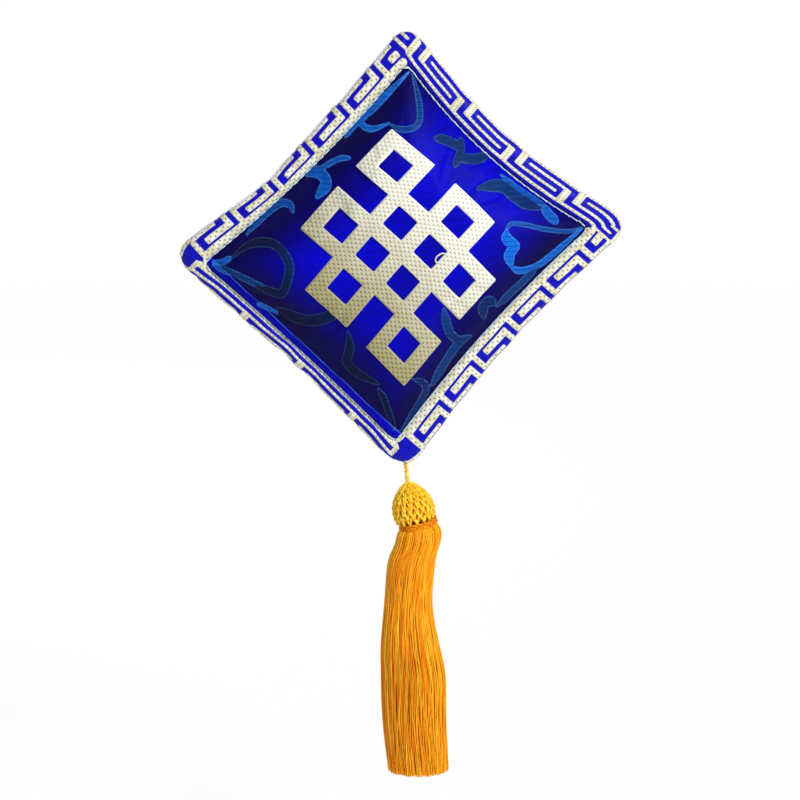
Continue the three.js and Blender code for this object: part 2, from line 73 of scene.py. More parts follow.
dice = random.Random(11)
mm = 0.001
farAway = 99.0  # mm, beyond every distance measured here
print("frame loaded")

# Camera: a long lens a little above the pouch, as in the photograph
view = {"turn": 0.64, "rise": 9.47, "distance": 0.9, "lens": 155.0, "clip": 0.01,
        "aim": (-0.0016, 0.0001, -0.0961)}


def placeCamera():
    turn, rise = math.radians(view["turn"]), math.radians(view["rise"])
    back = Vector((math.sin(turn) * math.cos(rise), -math.cos(turn) * math.cos(rise), math.sin(rise)))
    bpy.ops.object.camera_add(location=Vector(view["aim"]) + back * view["distance"])
    camera = bpy.context.active_object
    camera.rotation_euler = back.to_track_quat("Z", "Y").to_euler()
    camera.data.lens = view["lens"]
    camera.data.clip_start = view["clip"]
    scene.camera = camera


placeCamera()
print("camera placed")


# Shader maths: a socket that can be added, multiplied and mixed
class Wire:
    def __init__(self, tree, socket=None):
        self.tree = tree
        self.socket = socket

    def node(self, kind, settings=None, sockets=None, out=0):
        made = self.tree.nodes.new("ShaderNode" + kind)
        for key, value in (settings or {}).items():
            setattr(made, key, value)
        for key, value in (sockets or {}).items():
            if isinstance(value, Wire):
                self.tree.links.new(value.socket, made.inputs[key])
            else:
                made.inputs[key].default_value = value
        return Wire(self.tree, made.outputs[out])

    def maths(self, operation, first, second=0.0):
        return self.node("Math", {"operation": operation}, {0: first, 1: second})

    def __add__(self, other):
        return self.maths("ADD", self, other)

    __radd__ = __add__

    def __sub__(self, other):
        return self.maths("SUBTRACT", self, other)

    def __rsub__(self, other):
        return self.maths("SUBTRACT", other, self)

    def __mul__(self, other):
        return self.maths("MULTIPLY", self, other)

    __rmul__ = __mul__

    def __truediv__(self, other):
        return self.maths("DIVIDE", self, other)

    def step(self, low, high):  # 0 below low, 1 above high, smooth between
        return self.node("MapRange", {"interpolation_type": "SMOOTHSTEP"},
                         {"Value": self, "From Min": low, "From Max": high})

    def wave(self, length):  # -1 to 1 and back, once in this length
        return self.maths("SINE", self * (2 * math.pi / length))

    def mix(self, none, full):  # colour between two, by this value
        return self.node("Mix", {"data_type": "RGBA"}, {0: self, 6: none, 7: full}, out=2)

    def into(self, shader, socket):
        self.tree.links.new(self.socket, shader.inputs[socket])


def paint(red, green, blue):  # screen colour 0 to 255, as Blender's linear colour
    def linear(value):
        value /= 255
        return value / 12.92 if value <= 0.04045 else ((value + 0.055) / 1.055) ** 2.4
    return (linear(red), linear(green), linear(blue), 1.0)


def newFinish(name, fixed):
    finish = bpy.data.materials.new(name)
    finish.use_nodes = True
    shader = finish.node_tree.nodes["Principled BSDF"]
    for socket, value in fixed.items():
        shader.inputs[socket].default_value = value
    return finish, Wire(finish.node_tree), shader


def noise(wire, stretch, detail=2.0):  # in the piece's own coordinates in mm, times stretch
    spot = wire.node("TexCoord", out="Object")
    grain = wire.node("Mapping", {}, {"Vector": spot, "Scale": tuple(np.ones(3) * stretch / mm)})
    return wire.node("TexNoise", {}, {"Vector": grain, "Scale": 1.0, "Detail": detail}, out="Fac")


def meshValue(wire, name):  # a value kept on the mesh's points
    return wire.node("Attribute", {"attribute_name": name}, out="Fac")


def roughen(wire, shader, height, strength, distance):
    bump = wire.node("Bump", {}, {"Height": height, "Strength": strength, "Distance": distance * mm})
    bump.into(shader, "Normal")


# Brocade: royal blue satin with an azure and teal damask, tied down by thin dotted lines; the damask's azure
# and teal are painted sheen, and painted shade darkens satin and damask towards three sides
brocade = {
    # dark is the painted shade colour of satin and damask, and also the colour of the thin tie lines
    "lit": paint(2, 1, 200), "deep": paint(3, 0, 148), "dark": paint(7, 2, 46), "azure": paint(14, 100, 208),
    "teal": paint(9, 42, 98), "pale": paint(96, 160, 232),
    "rib": 1.3, "tie": 0.62, "warp": 0.36, "cloud": 0.055, "slub": (0.25, 0.25, 2.6), "roughness": 0.5,
    "edge": 0.14, "edging": (-0.34, -0.2), "foldLine": (0.04, 0.16), "bump": (0.35, 0.12),
}


def brocadeFinish():
    finish, wire, shader = newFinish("royal brocade", {"Specular IOR Level": 0.06})
    distance, tone, shade, fold = (meshValue(wire, name) for name in ("damask", "tone", "shade", "fold"))
    spot = wire.node("TexCoord", out="Object")
    x, z = (wire.node("SeparateXYZ", {}, {0: spot}, out=axis) / mm for axis in "XZ")
    inside = 1 - distance.step(-brocade["edge"], brocade["edge"])
    ties = z.wave(brocade["rib"]).step(0.7, 0.95) * x.wave(brocade["tie"]).step(-0.5, 0.3)
    dashes = (x + z).wave(brocade["tie"]).step(-0.4, 0.4)
    warps = x.wave(brocade["warp"]).step(-1.0, 1.0)
    cloudy, slub = noise(wire, brocade["cloud"], 3.0), noise(wire, brocade["slub"])
    ground = (cloudy * 0.6 + slub * 0.5).step(0.35, 0.75).mix(brocade["deep"], brocade["lit"])
    # painted shade: the ground goes dark where the panel's shade value is high
    ground = (shade * (0.7 + cloudy * 0.4)).mix(ground, brocade["dark"])
    # painted sheen: each stroke's tone sets how far it goes from teal to azure
    thread = (tone + cloudy * 0.5 - 0.25).step(0.0, 1.0).mix(brocade["teal"], brocade["azure"])
    # painted shade on the damask strokes too, less on the azure ones
    thread = (shade * (1 - tone) * 0.85).mix(thread, brocade["dark"])
    # the pale dashed edging is stronger on the strokes with more painted sheen
    edging = distance.step(*brocade["edging"]) * inside * dashes * (0.2 + tone * 0.4)
    thread = edging.mix(thread, brocade["pale"])
    thread = (ties * 0.8).mix(thread, brocade["dark"])
    folded = (1 - wire.maths("ABSOLUTE", fold).step(*brocade["foldLine"])) * dashes * 0.55
    folded.mix(inside.mix(ground, thread), brocade["pale"]).into(shader, "Base Color")
    (brocade["roughness"] - 0.1 * inside + slub * 0.1).into(shader, "Roughness")
    roughen(wire, shader, warps * 0.3 + inside * (1 - ties) + slub * 0.4, *brocade["bump"])
    return finish


# Cream float weave of the knot and of the borders' fret
# the knot's cream fades to a painted shade colour towards its lower left
cream = {"bright": paint(243, 242, 228), "wearAndShade": paint(218, 213, 176), "shadedCream": paint(166, 158, 112),
         "gap": paint(84, 80, 50), "lowerLeftShade": (-26, 20), "bump": (0.5, 0.15)}


def floatGaps(wire, across, along, width, row):  # dark dots at the floats' ends, faint lines between the rows
    odd = wire.maths("FLOORED_MODULO", wire.maths("FLOOR", along / row), 2.0)
    fromEnd = wire.maths("PINGPONG", across + width / 2 - odd * (width / 2), width / 2)
    fromRow = wire.maths("PINGPONG", along, row / 2)
    dots = (1 - fromEnd.step(0.08, 0.3)) * fromRow.step(0.06, 0.26)
    return dots * 0.78 + (1 - fromRow.step(0.02, 0.15)) * 0.22


def knotFinish():
    finish, wire, shader = newFinish("cream knot weave", {"Sheen Weight": 0.15, "Specular IOR Level": 0.2})
    across, along, rim = (meshValue(wire, name) for name in ("across", "along", "rim"))
    wearAndShade, fibre = noise(wire, 0.3, 4.0), noise(wire, 4.8)
    unshaded = (across + wearAndShade * 16 - 8).step(*cream["lowerLeftShade"])  # painted shade: darker towards the lower left, away from the light
    plain = unshaded.mix(cream["shadedCream"], cream["bright"])
    gap = floatGaps(wire, across, along, *knot["float"]) * rim.step(0.25, 0.5)
    # the float gaps show more where the painted shade falls
    (gap * (1 - unshaded * 0.35)).mix(plain, cream["gap"]).into(shader, "Base Color")
    (0.66 + gap * 0.2).into(shader, "Roughness")
    roughen(wire, shader, (1 - gap) + fibre * 0.3, *cream["bump"])
    return finish


def borderFinish():
    finish, wire, shader = newFinish("key fret weave", {"Sheen Weight": 0.1, "Specular IOR Level": 0.12})
    fret = 1 - meshValue(wire, "fret").step(-0.12, 0.12)
    gap = floatGaps(wire, meshValue(wire, "along"), meshValue(wire, "around"), *borders["float"])
    wearAndShade, slub = noise(wire, 0.4, 4.0), noise(wire, 1.2)
    woven = gap.mix(wearAndShade.step(0.3, 0.7).mix(cream["wearAndShade"], cream["bright"]), cream["gap"])
    ground = slub.step(0.3, 0.75).mix(brocade["deep"], brocade["lit"])
    fret.mix(ground, woven).into(shader, "Base Color")
    (0.5 + fret * 0.15).into(shader, "Roughness")
    roughen(wire, shader, fret * (1 - gap) + slub * 0.3, *cream["bump"])
    return finish


# Yarns: gold silk for the tassel, pale blue for the seams, red for the tie
yarns = {  # light, dark, roughness, grain per mm
    "skirt": (paint(255, 198, 44), paint(255, 150, 6), 0.42, (3.4, 3.4, 0.25)),
    "net": (paint(255, 220, 66), paint(240, 168, 20), 0.6, 1.3),
    "cord": (paint(252, 226, 112), paint(236, 188, 60), 0.6, 1.2),
    "binding": (paint(244, 158, 16), paint(204, 108, 4), 0.6, 1.6),
    "seam": (paint(224, 232, 234), paint(160, 190, 220), 0.6, 1.5),
    "tie": (paint(176, 34, 28), paint(120, 14, 14), 0.65, 2.0),
}


def yarnFinish(name, tinted=False):
    light, dark, rough, grain = yarns[name]
    finish, wire, shader = newFinish(name + " yarn", {"Specular IOR Level": 0.15})
    strand, fibre = noise(wire, grain), noise(wire, np.multiply(grain, 5))
    if tinted:  # each strand has taken the dye a little differently
        strand = strand * 0.4 + meshValue(wire, "tone") * 0.5 + 0.05
    strand.step(0.36, 0.64).mix(dark, light).into(shader, "Base Color")
    (rough + fibre * 0.2).into(shader, "Roughness")
    roughen(wire, shader, fibre, 0.3, 0.08)
    return finish


def plainFinish(name, light, dark, grain, rough, bump):
    finish, wire, shader = newFinish(name, {})
    cloud = noise(wire, grain, 5.0)
    cloud.step(0.3, 0.7).mix(dark, light).into(shader, "Base Color")
    (rough + cloud * 0.15).into(shader, "Roughness")
    roughen(wire, shader, cloud, 0.5, bump)
    return finish


# Mesh helpers
def activate(*pieces):  # select these, the first as the active one
    bpy.ops.object.select_all(action="DESELECT")
    for piece in pieces:
        piece.select_set(True)
    bpy.context.view_layer.objects.active = pieces[0]


def readVectors(piece, field):
    flat = np.empty(len(piece.data.vertices) * 3)
    piece.data.vertices.foreach_get(field, flat)
    return flat.reshape(-1, 3)


def readPlaces(piece):
    return readVectors(piece, "co") / mm


def writePlaces(piece, places):
    piece.data.vertices.foreach_set("co", (places * mm).ravel())
    piece.data.update()


def raiseBy(piece, height):  # move each point along its normal
    writePlaces(piece, readPlaces(piece) + readVectors(piece, "normal") * height[:, None])


def setValues(piece, **values):
    for name, each in values.items():
        kept = piece.data.attributes.get(name) or piece.data.attributes.new(name, "FLOAT", "POINT")
        kept.data.foreach_set("value", np.asarray(each, dtype=np.float32))


def readValues(piece, name):
    flat = np.empty(len(piece.data.vertices), dtype=np.float32)
    piece.data.attributes[name].data.foreach_get("value", flat)
    return flat.astype(float)


def gridPiece(name, steps):  # a new grid, and where its points lie from -1 to 1
    bpy.ops.mesh.primitive_grid_add(x_subdivisions=steps[0], y_subdivisions=steps[1], size=2)
    piece = bpy.context.active_object
    piece.name = piece.data.name = name
    flat = readVectors(piece, "co")
    return piece, flat[:, 0], flat[:, 1]


def applied(piece, kind, **settings):
    activate(piece)
    modifier = piece.modifiers.new(kind.lower(), kind)
    for key, value in settings.items():
        setattr(modifier, key, value)
    bpy.ops.object.modifier_apply(modifier=modifier.name)


def dress(piece, finish, body=None):
    piece.data.materials.clear()
    piece.data.materials.append(finish)
    activate(piece)
    bpy.ops.object.shade_smooth()
    if body:
        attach(piece, body)


def threadPiece(name, routes, thickness, sides=6, closed=False):
    drawn = bpy.data.curves.new(name, "CURVE")
    drawn.dimensions = "3D"
    drawn.bevel_depth = thickness / 2 * mm
    drawn.bevel_resolution = max(0, sides // 2 - 2)
    drawn.use_fill_caps = not closed
    for route in routes:
        strand = drawn.splines.new("POLY")
        strand.points.add(len(route) - 1)
        places = np.column_stack([np.asarray(route) * mm, np.ones(len(route))])
        strand.points.foreach_set("co", places.ravel())
        strand.use_cyclic_u = closed
    piece = bpy.data.objects.new(name, drawn)
    scene.collection.objects.link(piece)
    activate(piece)
    bpy.ops.object.convert(target="MESH")
    return bpy.context.active_object


# Lines and distances
def lengthRun(line):  # length from the first point to each point
    return np.concatenate([[0], np.cumsum(np.linalg.norm(np.diff(line, axis=0), axis=1))])


def sideWays(start, end):  # unit ways along a side, and inwards from it
    along = (end - start) / np.linalg.norm(end - start)
    return along, np.array([along[1], -along[0]])


def smoothStep(value, low, high):
    share = np.clip((value - low) / (high - low), 0, 1)
    return share * share * (3 - 2 * share)


def boxDistance(x, y, left, right, low, high):  # below zero inside the box
    dx, dy = np.maximum(left - x, x - right), np.maximum(low - y, y - high)
    return np.hypot(np.maximum(dx, 0), np.maximum(dy, 0)) + np.minimum(np.maximum(dx, dy), 0)


def spline(points, count):  # smooth run through a few points
    points = np.asarray(points, float)
    padded = np.vstack([2 * points[0] - points[1], points, 2 * points[-1] - points[-2]])
    spots = np.linspace(0, len(points) - 1, count)
    i = np.minimum(spots.astype(int), len(points) - 2)
    t = (spots - i)[:, None]
    a, b, c, d = padded[i], padded[i + 1], padded[i + 2], padded[i + 3]
    bend, turn = 2 * a - 5 * b + 4 * c - d, 3 * b - a - 3 * c + d
    return 0.5 * (2 * b + (c - a) * t + bend * t ** 2 + turn * t ** 3)


# Cloth pass: pressure from the stuffing puffs a sewn sheet between its seams
def puffUp(piece, seams, pressure, slack, most, grow=8.0, frames=20):
    start = readPlaces(piece)
    writePlaces(piece, start * grow)
    group = piece.vertex_groups.new(name="seam")
    group.add([int(i) for i in np.nonzero(seams)[0]], 1.0, "REPLACE")
    activate(piece)
    cloth = piece.modifiers.new("puff", "CLOTH")
    cloth.settings.vertex_group_mass = "seam"
    cloth.settings.use_pressure = True
    cloth.settings.uniform_pressure_force = pressure
    cloth.settings.effector_weights.gravity = 0
    cloth.settings.shrink_min = -slack
    cloth.point_cache.frame_start, cloth.point_cache.frame_end = 1, frames
    for number in range(1, frames + 1):
        scene.frame_set(number)
    bpy.ops.object.modifier_apply(modifier=cloth.name)
    scene.frame_set(1)
    shift = readPlaces(piece) / grow - start
    length = np.linalg.norm(shift, axis=1, keepdims=True)
    writePlaces(piece, start + shift * np.minimum(1, most / np.maximum(length, 1e-9)))
    piece.vertex_groups.clear()
    print(piece.name, "puffed by up to", round(float(length.max()), 2), "mm")


# Outline and crown, the same as the solids', in mm from the tip of the top corner
pouch = {
    "reach": (53.8, 56.2, 59.5, 59.2),  # top, right, bottom and left corner from the crossing
    "crossRise": 3.8,
    "bow": (3.6, 2.0, 0.8, 2.0),        # upper right, lower right, lower left and upper left side
    "border": (8.0, 7.7, 4.2, 7.7),
    "cornerRounding": 9.0, "seamRounding": 3.0, "slit": 1.2,
    "seamDepth": 3.0, "crown": 10.0, "flatShare": 0.25, "swell": 3, "tuck": 0.9, "sideSteps": 201,
}


def bezier(a, b, c, t):
    t = np.asarray(t, float)[..., None]
    return (1 - t) ** 2 * a + 2 * t * (1 - t) * b + t ** 2 * c


def sharpCorners():
    rise = math.radians(pouch["crossRise"])
    ways = np.array([[0, 1], [math.cos(rise), math.sin(rise)], [0, -1], [-math.cos(rise), -math.sin(rise)]])
    cut = pouch["cornerRounding"] * math.sqrt(0.5) / 2
    return [way * (reach + cut) for way, reach in zip(ways, pouch["reach"])]


def outline(insets, rounding, bowShare=1.0):
    sharp = sharpCorners()
    lines = []
    for k in range(4):
        along, inward = sideWays(sharp[k], sharp[(k + 1) % 4])
        lines.append((sharp[k] + inward * insets[k], along, inward))
    corners = []
    for k in range(4):
        (before, way, _), (here, _, inward) = lines[k - 1], lines[k]
        corners.append(before + way * (np.dot(here - before, inward) / np.dot(way, inward)))
    sides, shares = [], []
    for k in range(4):
        a, b = corners[k], corners[(k + 1) % 4]
        sides.append((a, (a + b) / 2 + lines[k][2] * 2 * pouch["bow"][k] * bowShare, b))
        length = lengthRun(bezier(*sides[k], np.linspace(0, 1, pouch["sideSteps"])))[-1]
        shares.append(max(rounding / length, 1e-9))
    turns = [(bezier(*sides[k - 1], 1 - shares[k - 1]), corners[k], bezier(*sides[k], shares[k]))
             for k in range(4)]

    def place(k, t):
        t = np.asarray(t, float)
        first = bezier(*turns[k], 0.5 + 0.5 * t / shares[k])
        last = bezier(*turns[(k + 1) % 4], 0.5 * (t - 1 + shares[k]) / shares[k])
        early, late = (t < shares[k])[..., None], (t > 1 - shares[k])[..., None]
        return np.where(early, first, np.where(late, last, bezier(*sides[k], t)))
    return place


edgeLine = outline((0, 0, 0, 0), pouch["cornerRounding"])
seamLine = outline(pouch["border"], pouch["seamRounding"])
stitchLine = outline([width + pouch["slit"] / 2 for width in pouch["border"]], pouch["seamRounding"])
straightLine = outline([width + pouch["slit"] for width in pouch["border"]], 0.0, 0.0)
topTip = edgeLine(0, 0.0)
panelMiddle = np.mean([straightLine(k, 0.0) for k in range(4)], axis=0)


def fullness(share):
    late = np.maximum(0, (np.abs(share) - pouch["flatShare"]) / (1 - pouch["flatShare"]))
    return 1 - late ** pouch["swell"]


def panelPlace(u, v, shrink=1.0):  # x and z of a panel's spot, u towards upper right, v towards lower right
    share = np.maximum(np.maximum(np.abs(u), np.abs(v)), 1e-6)
    sector = np.where(np.abs(u) >= np.abs(v), np.where(u > 0, 0, 2), np.where(v > 0, 1, 3))
    t = (np.choose(sector, [v, -u, -v, u]) / share + 1) / 2
    spot = np.zeros(u.shape + (2,))
    for k in range(4):
        straight, sewn = straightLine(k, t), stitchLine(k, t)
        rim = straight + (sewn - straight) * (share ** 3)[..., None]
        here = panelMiddle + (rim - panelMiddle) * share[..., None] * shrink
        spot[sector == k] = here[sector == k]
    return spot - topTip, share


# Damask on the panels: a heart-shaped cloud in each corner and scrolls between
# each stroke: half-width in mm, tone from dark teal 0 to azure 1, points in mm; the tone is painted sheen,
# azure where a stroke catches the light and teal where it doesn't
damask = {
    "top heart": (
        (0.85, 1.0, ((0.8, -10.3), (-3.6, -14.7), (-8.3, -19.6), (-11.4, -22.4), (-11.0, -24.0),
                     (-8.4, -24.6), (-4.3, -23.0))),
        (0.85, 0.45, ((-4.3, -23.0), (-2.0, -24.3), (0.7, -24.4), (2.9, -23.4), (3.6, -21.1), (3.1, -16.7),
                      (1.6, -11.0))),
        (0.6, 0.9, ((-10.9, -21.9), (-13.8, -24.9), (-15.7, -27.1))),
    ),
    "right heart": (
        (0.65, 0.5, ((45.2, -50.3), (41.8, -51.2), (35.8, -50.3), (30.5, -48.9), (26.9, -48.6),
                     (25.4, -50.4))),
        (1.4, 1.0, ((25.7, -50.3), (25.9, -52.3), (27.8, -54.2), (26.5, -56.5), (27.0, -59.5))),
        (1.0, 0.85, ((26.8, -59.3), (29.2, -61.0), (33.6, -60.1), (37.6, -57.4), (45.3, -50.6))),
    ),
    "bottom heart": (
        (1.0, 0.3, ((1.6, -89.0), (4.2, -90.1), (5.2, -92.3), (3.9, -95.4), (1.6, -99.5), (-1.3, -103.9))),
        (0.9, 0.1, ((-7.1, -91.5), (-5.7, -94.2), (-4.4, -98.4), (-2.9, -103.3))),
    ),
    "left heart": (
        (1.25, 0.05, ((-44.7, -57.9), (-41.0, -54.9), (-37.0, -53.7), (-33.4, -54.2), (-30.7, -56.9),
                      (-29.8, -60.5), (-31.6, -66.4), (-34.6, -66.3), (-38.4, -64.8), (-45.2, -61.3))),
        (0.8, 0.9, ((-49.9, -59.5), (-47.6, -59.4), (-45.2, -58.0))),
        (1.0, 0.5, ((-49.7, -60.2), (-46.5, -61.4), (-42.2, -63.0), (-38.1, -64.8), (-34.4, -66.3))),
    ),
    "upper right leaves": (
        (1.2, 0.1, ((7.5, -26.6), (10.6, -27.6), (13.9, -29.4))),
        (1.1, 0.1, ((13.9, -27.1), (13.9, -30.5), (12.6, -33.9))),
        (1.3, 0.1, ((13.3, -31.7), (17.3, -32.4), (20.5, -32.0))),
        (1.6, 0.12, ((18.5, -39.6), (22.0, -39.1), (25.2, -39.6), (27.8, -41.6), (30.6, -43.6),
                     (34.2, -45.1))),
        (0.8, 0.55, ((24.4, -36.6), (27.7, -39.5), (31.7, -42.3), (35.8, -44.7))),
        (1.2, 0.75, ((35.5, -45.0), (36.8, -46.8), (38.8, -48.7))),
    ),
    "upper left scrolls": (
        (1.0, 0.7, ((-41.1, -52.2), (-38.5, -49.1), (-35.1, -45.9), (-32.0, -44.0), (-29.8, -44.3),
                    (-29.0, -46.0))),
        (1.5, 0.85, ((-25.5, -36.9), (-23.1, -35.9), (-21.0, -37.0), (-20.6, -39.1), (-22.7, -41.9))),
        (0.75, 0.85, ((-23.1, -35.9), (-19.4, -33.5), (-16.6, -32.2), (-14.3, -32.0))),
    ),
    "lower left leaves": (
        (1.6, 0.0, ((-33.0, -70.9), (-28.6, -73.1), (-24.2, -73.8), (-20.0, -72.6), (-17.3, -70.9))),
        (1.3, 0.0, ((-14.8, -76.4), (-14.4, -80.8), (-15.2, -84.7), (-12.4, -87.6), (-7.2, -90.2))),
        (0.7, 0.9, ((-38.4, -70.0), (-35.7, -71.2), (-33.3, -72.4))),
    ),
    "lower right branch": (
        (1.2, 0.35, ((9.8, -70.3), (10.4, -73.8), (11.4, -77.0), (13.6, -79.1), (16.6, -78.5))),
        (1.2, 0.4, ((16.6, -78.3), (14.3, -79.4), (11.9, -82.3), (8.8, -87.5), (6.7, -91.4))),
        (1.4, 0.35, ((20.2, -73.5), (19.9, -70.4), (21.4, -68.8), (22.5, -69.8))),
        (1.1, 0.45, ((33.8, -60.5), (30.8, -63.5), (27.3, -66.9), (23.5, -70.5))),
    ),
}
stroke = {"steps": 8, "end": 0.3, "taper": (-0.1, 0.5)}  # strokes narrow towards their ends


def strokeDistance(x, z):  # to the nearest stroke's edge, below zero inside it, and that stroke's tone
    least, tone = np.full(x.shape, farAway), np.zeros(x.shape)
    for halfWidth, strokeTone, points in sum(damask.values(), ()):
        line = spline(points, stroke["steps"] * len(points))
        fromEnd = 1 - np.abs(np.linspace(-1, 1, len(line)))
        widths = halfWidth * (stroke["end"] + (1 - stroke["end"]) * smoothStep(fromEnd, *stroke["taper"]))
        for a, b, width in zip(line[:-1], line[1:], widths):
            run = b - a
            share = np.clip(((x - a[0]) * run[0] + (z - a[1]) * run[1]) / max(run @ run, 1e-9), 0, 1)
            here = np.hypot(x - a[0] - run[0] * share, z - a[1] - run[1] * share) - width
            tone = np.where(here < least, strokeTone, tone)
            least = np.minimum(least, here)
    return least, tone


# Face and back, cut a little slack and puffed by the stuffing; a fold runs along the face's lower left seam
cover = {
    "steps": 96, "start": 0.97, "pressure": 4.0, "slack": 0.015, "most": 0.9, "allowance": 1.2,
    # shade: from where to where the painted shade comes in, as a share of the way out to the sides
    "relief": 0.1, "reliefEdge": (-0.3, 0.1), "tuckFrom": 0.965, "heldFrom": 0.99, "shade": (0.36, 0.9),
    "fold": (0.5, 1.0, 0.8), "crease": (0.4, 2.5, 0.3),  # height, mm from the seam, half-width
    "foldLine": 0.35,
}


def panelPiece(name, front):
    piece, gridX, gridY = gridPiece(name, (cover["steps"], cover["steps"]))
    u, v = (gridY, gridX) if front else (gridX, gridY)
    spot, share = panelPlace(u, v)
    depth = pouch["seamDepth"] + pouch["crown"] * cover["start"] * fullness(u) * fullness(v)
    depth -= pouch["tuck"] * smoothStep(share, cover["tuckFrom"], 1.0)
    writePlaces(piece, np.column_stack([spot[:, 0], -depth if front else depth, spot[:, 1]]))
    # painted shade: darker towards the lower left, upper left and lower right sides, away from the light at
    # the upper right
    setValues(piece, shade=smoothStep(np.maximum(-u, np.abs(v)), *cover["shade"]))
    puffUp(piece, share > cover["heldFrom"], cover["pressure"], cover["slack"], cover["most"])
    applied(piece, "SUBSURF", levels=1, render_levels=1)
    places = readPlaces(piece)
    mirrored = 2 * (panelMiddle[0] - topTip[0]) - places[:, 0]
    inside, tone = strokeDistance(places[:, 0] if front else mirrored, places[:, 2])
    setValues(piece, damask=inside, tone=tone, fold=np.full(len(places), farAway))
    raised = cover["relief"] * (1 - smoothStep(inside, *cover["reliefEdge"]))
    if front:
        start, end = straightLine(2, 0.0) - topTip, straightLine(2, 1.0) - topTip
        fromSeam = (places[:, [0, 2]] - start) @ sideWays(start, end)[1]
        (fold, foldAt, foldWide), (crease, creaseAt, creaseWide) = cover["fold"], cover["crease"]
        raised += fold * np.exp(-((fromSeam - foldAt) / foldWide) ** 2)
        raised -= crease * np.exp(-((fromSeam - creaseAt) / creaseWide) ** 2)
        # the strip between the lower left seam and its crease is kept clear of painted shade, so it stays
        # bright
        lit = smoothStep(fromSeam, creaseAt - creaseWide, creaseAt)
        setValues(piece, shade=readValues(piece, "shade") * lit, fold=fromSeam - creaseAt + cover["foldLine"])
    raiseBy(piece, raised)
    return piece


faceCloth = panelPiece("face_cloth", True)
backCloth = panelPiece("back_cloth", False)
brocadeLook = brocadeFinish()
for cloth, node in ((faceCloth, "front_panel"), (backCloth, "back_panel")):
    dress(cloth, brocadeLook, "pouch")
    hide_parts(node)
print("face and back sewn")

# Endless knot: strips of brick floats round ten meshes, laid on the face
knot = {
    "middle": (-1.02, -55.57), "acrossWay": (0.642, 0.729), "alongWay": (0.707, -0.669),
    "pulled": ((-0.048, -0.187), (-0.01, 0.049), (-0.144, -0.12)),  # how the crown bends it, mm at 10 mm out
    "step": 10.95, "strip": 4.5, "edge": 1.9, "rounding": 0.3, "steps": 240, "float": (1.4, 0.92),
    "lift": 0.25, "relief": 0.45, "floatRelief": 0.14, "sink": 0.06,
    "slope": (-0.01, 0.3), "plainRim": (0.2, 0.5),
    "meshes": ((-0.5, -0.5), (-0.5, 0.5), (0.5, -0.5), (0.5, 0.5), (1.5, -1.5), (-1.5, 1.5),
               (-0.5, -1.5), (-1.5, -0.5), (1.5, 0.5), (0.5, 1.5)),
    "loop": ((8.0, 9.0, 0.5), (7.3, 8.0, 1.0), (5.9, 7.6, 1.2), (4.8, 8.0, 0.9), (4.6, 9.1, 0.5)),
    "loopThread": 0.42, "loopSteps": 24,  # a pulled thread: across, along and up from the face
    "inFront": 30.0,                      # from where the weave is laid on the face
}


def knotDistance(a, b):
    rounding = knot["rounding"]
    far, near = knot["step"] / 2 + knot["edge"] - rounding, (knot["step"] - knot["strip"]) / 2 - rounding
    outer, hole = np.full(a.shape, farAway), np.full(a.shape, farAway)
    for i, j in knot["meshes"]:
        aside, ahead = a - knot["step"] * i, b - knot["step"] * j
        outer = np.minimum(outer, boxDistance(aside, ahead, -far, far, -far, far) - rounding)
        hole = np.minimum(hole, boxDistance(aside, ahead, -near, near, -near, near) - rounding)
    return np.maximum(outer, -hole)


def floatHeight(a, b, width, row):  # 1 on a float, 0 in the dips between floats
    number = np.floor(b / row)
    shifted = a + np.where(number % 2 == 0, width / 2, 0)
    sideways = width / 2 - np.abs(shifted % width - width / 2)
    upward = row / 2 - np.abs(b % row - row / 2)
    return smoothStep(np.minimum(sideways, upward), 0.0, 0.3)


def knotPlace(a, b):
    x, z = (knot["middle"][i] + a * knot["acrossWay"][i] + b * knot["alongWay"][i] for i in (0, 1))
    for (pullX, pullZ), bend in zip(knot["pulled"], (a * a / 100, a * b / 100, b * b / 100)):
        x, z = x + pullX * bend, z + pullZ * bend
    return x, z


def pulledThread():
    route = []
    for a, b, height in knot["loop"]:
        x, z = knotPlace(a, b)
        _, spot, _, _ = faceCloth.ray_cast(Vector((x, -knot["inFront"], z)) * mm, Vector((0, 1, 0)))
        route.append((x, spot.y / mm - height, z))
    return threadPiece("pulled thread", [spline(np.array(route), knot["loopSteps"])], knot["loopThread"])


def knotPiece():
    piece, gridX, gridY = gridPiece("knot_weave", (knot["steps"], knot["steps"]))
    reach = 2 * knot["step"] + knot["edge"]
    a, b = gridY * reach, gridX * reach
    inside = knotDistance(a, b)
    setValues(piece, across=a, along=b, rim=-inside)
    x, z = knotPlace(a, b)
    writePlaces(piece, np.column_stack([x, np.full(x.shape, -knot["inFront"]), z]))
    corners = np.array([list(face.vertices) for face in piece.data.polygons])
    bare = knotDistance(a[corners].mean(axis=1), b[corners].mean(axis=1)) > 0
    bpy.context.tool_settings.mesh_select_mode = (False, False, True)
    bpy.ops.object.mode_set(mode="EDIT")
    bpy.ops.mesh.select_all(action="DESELECT")
    bpy.ops.object.mode_set(mode="OBJECT")
    piece.data.polygons.foreach_set("select", bare)
    bpy.ops.object.mode_set(mode="EDIT")
    bpy.ops.mesh.delete(type="FACE")
    bpy.ops.object.mode_set(mode="OBJECT")
    applied(piece, "SHRINKWRAP", target=faceCloth, wrap_method="PROJECT", use_project_y=True,
            use_negative_direction=False, use_positive_direction=True)
    rim = readValues(piece, "rim")
    raised = floatHeight(readValues(piece, "across"), readValues(piece, "along"), *knot["float"])
    plain = 1 - smoothStep(rim, *knot["plainRim"])
    height = knot["lift"] + knot["relief"] - knot["floatRelief"] * (1 - raised) * (1 - plain)
    raiseBy(piece, height * smoothStep(rim, *knot["slope"]) - knot["sink"])
    activate(piece, pulledThread())
    bpy.ops.object.join()
    dress(piece, knotFinish(), "pouch")
    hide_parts("knot_motif")
    return piece


knotWeave = knotPiece()
print("knot laid on the face")

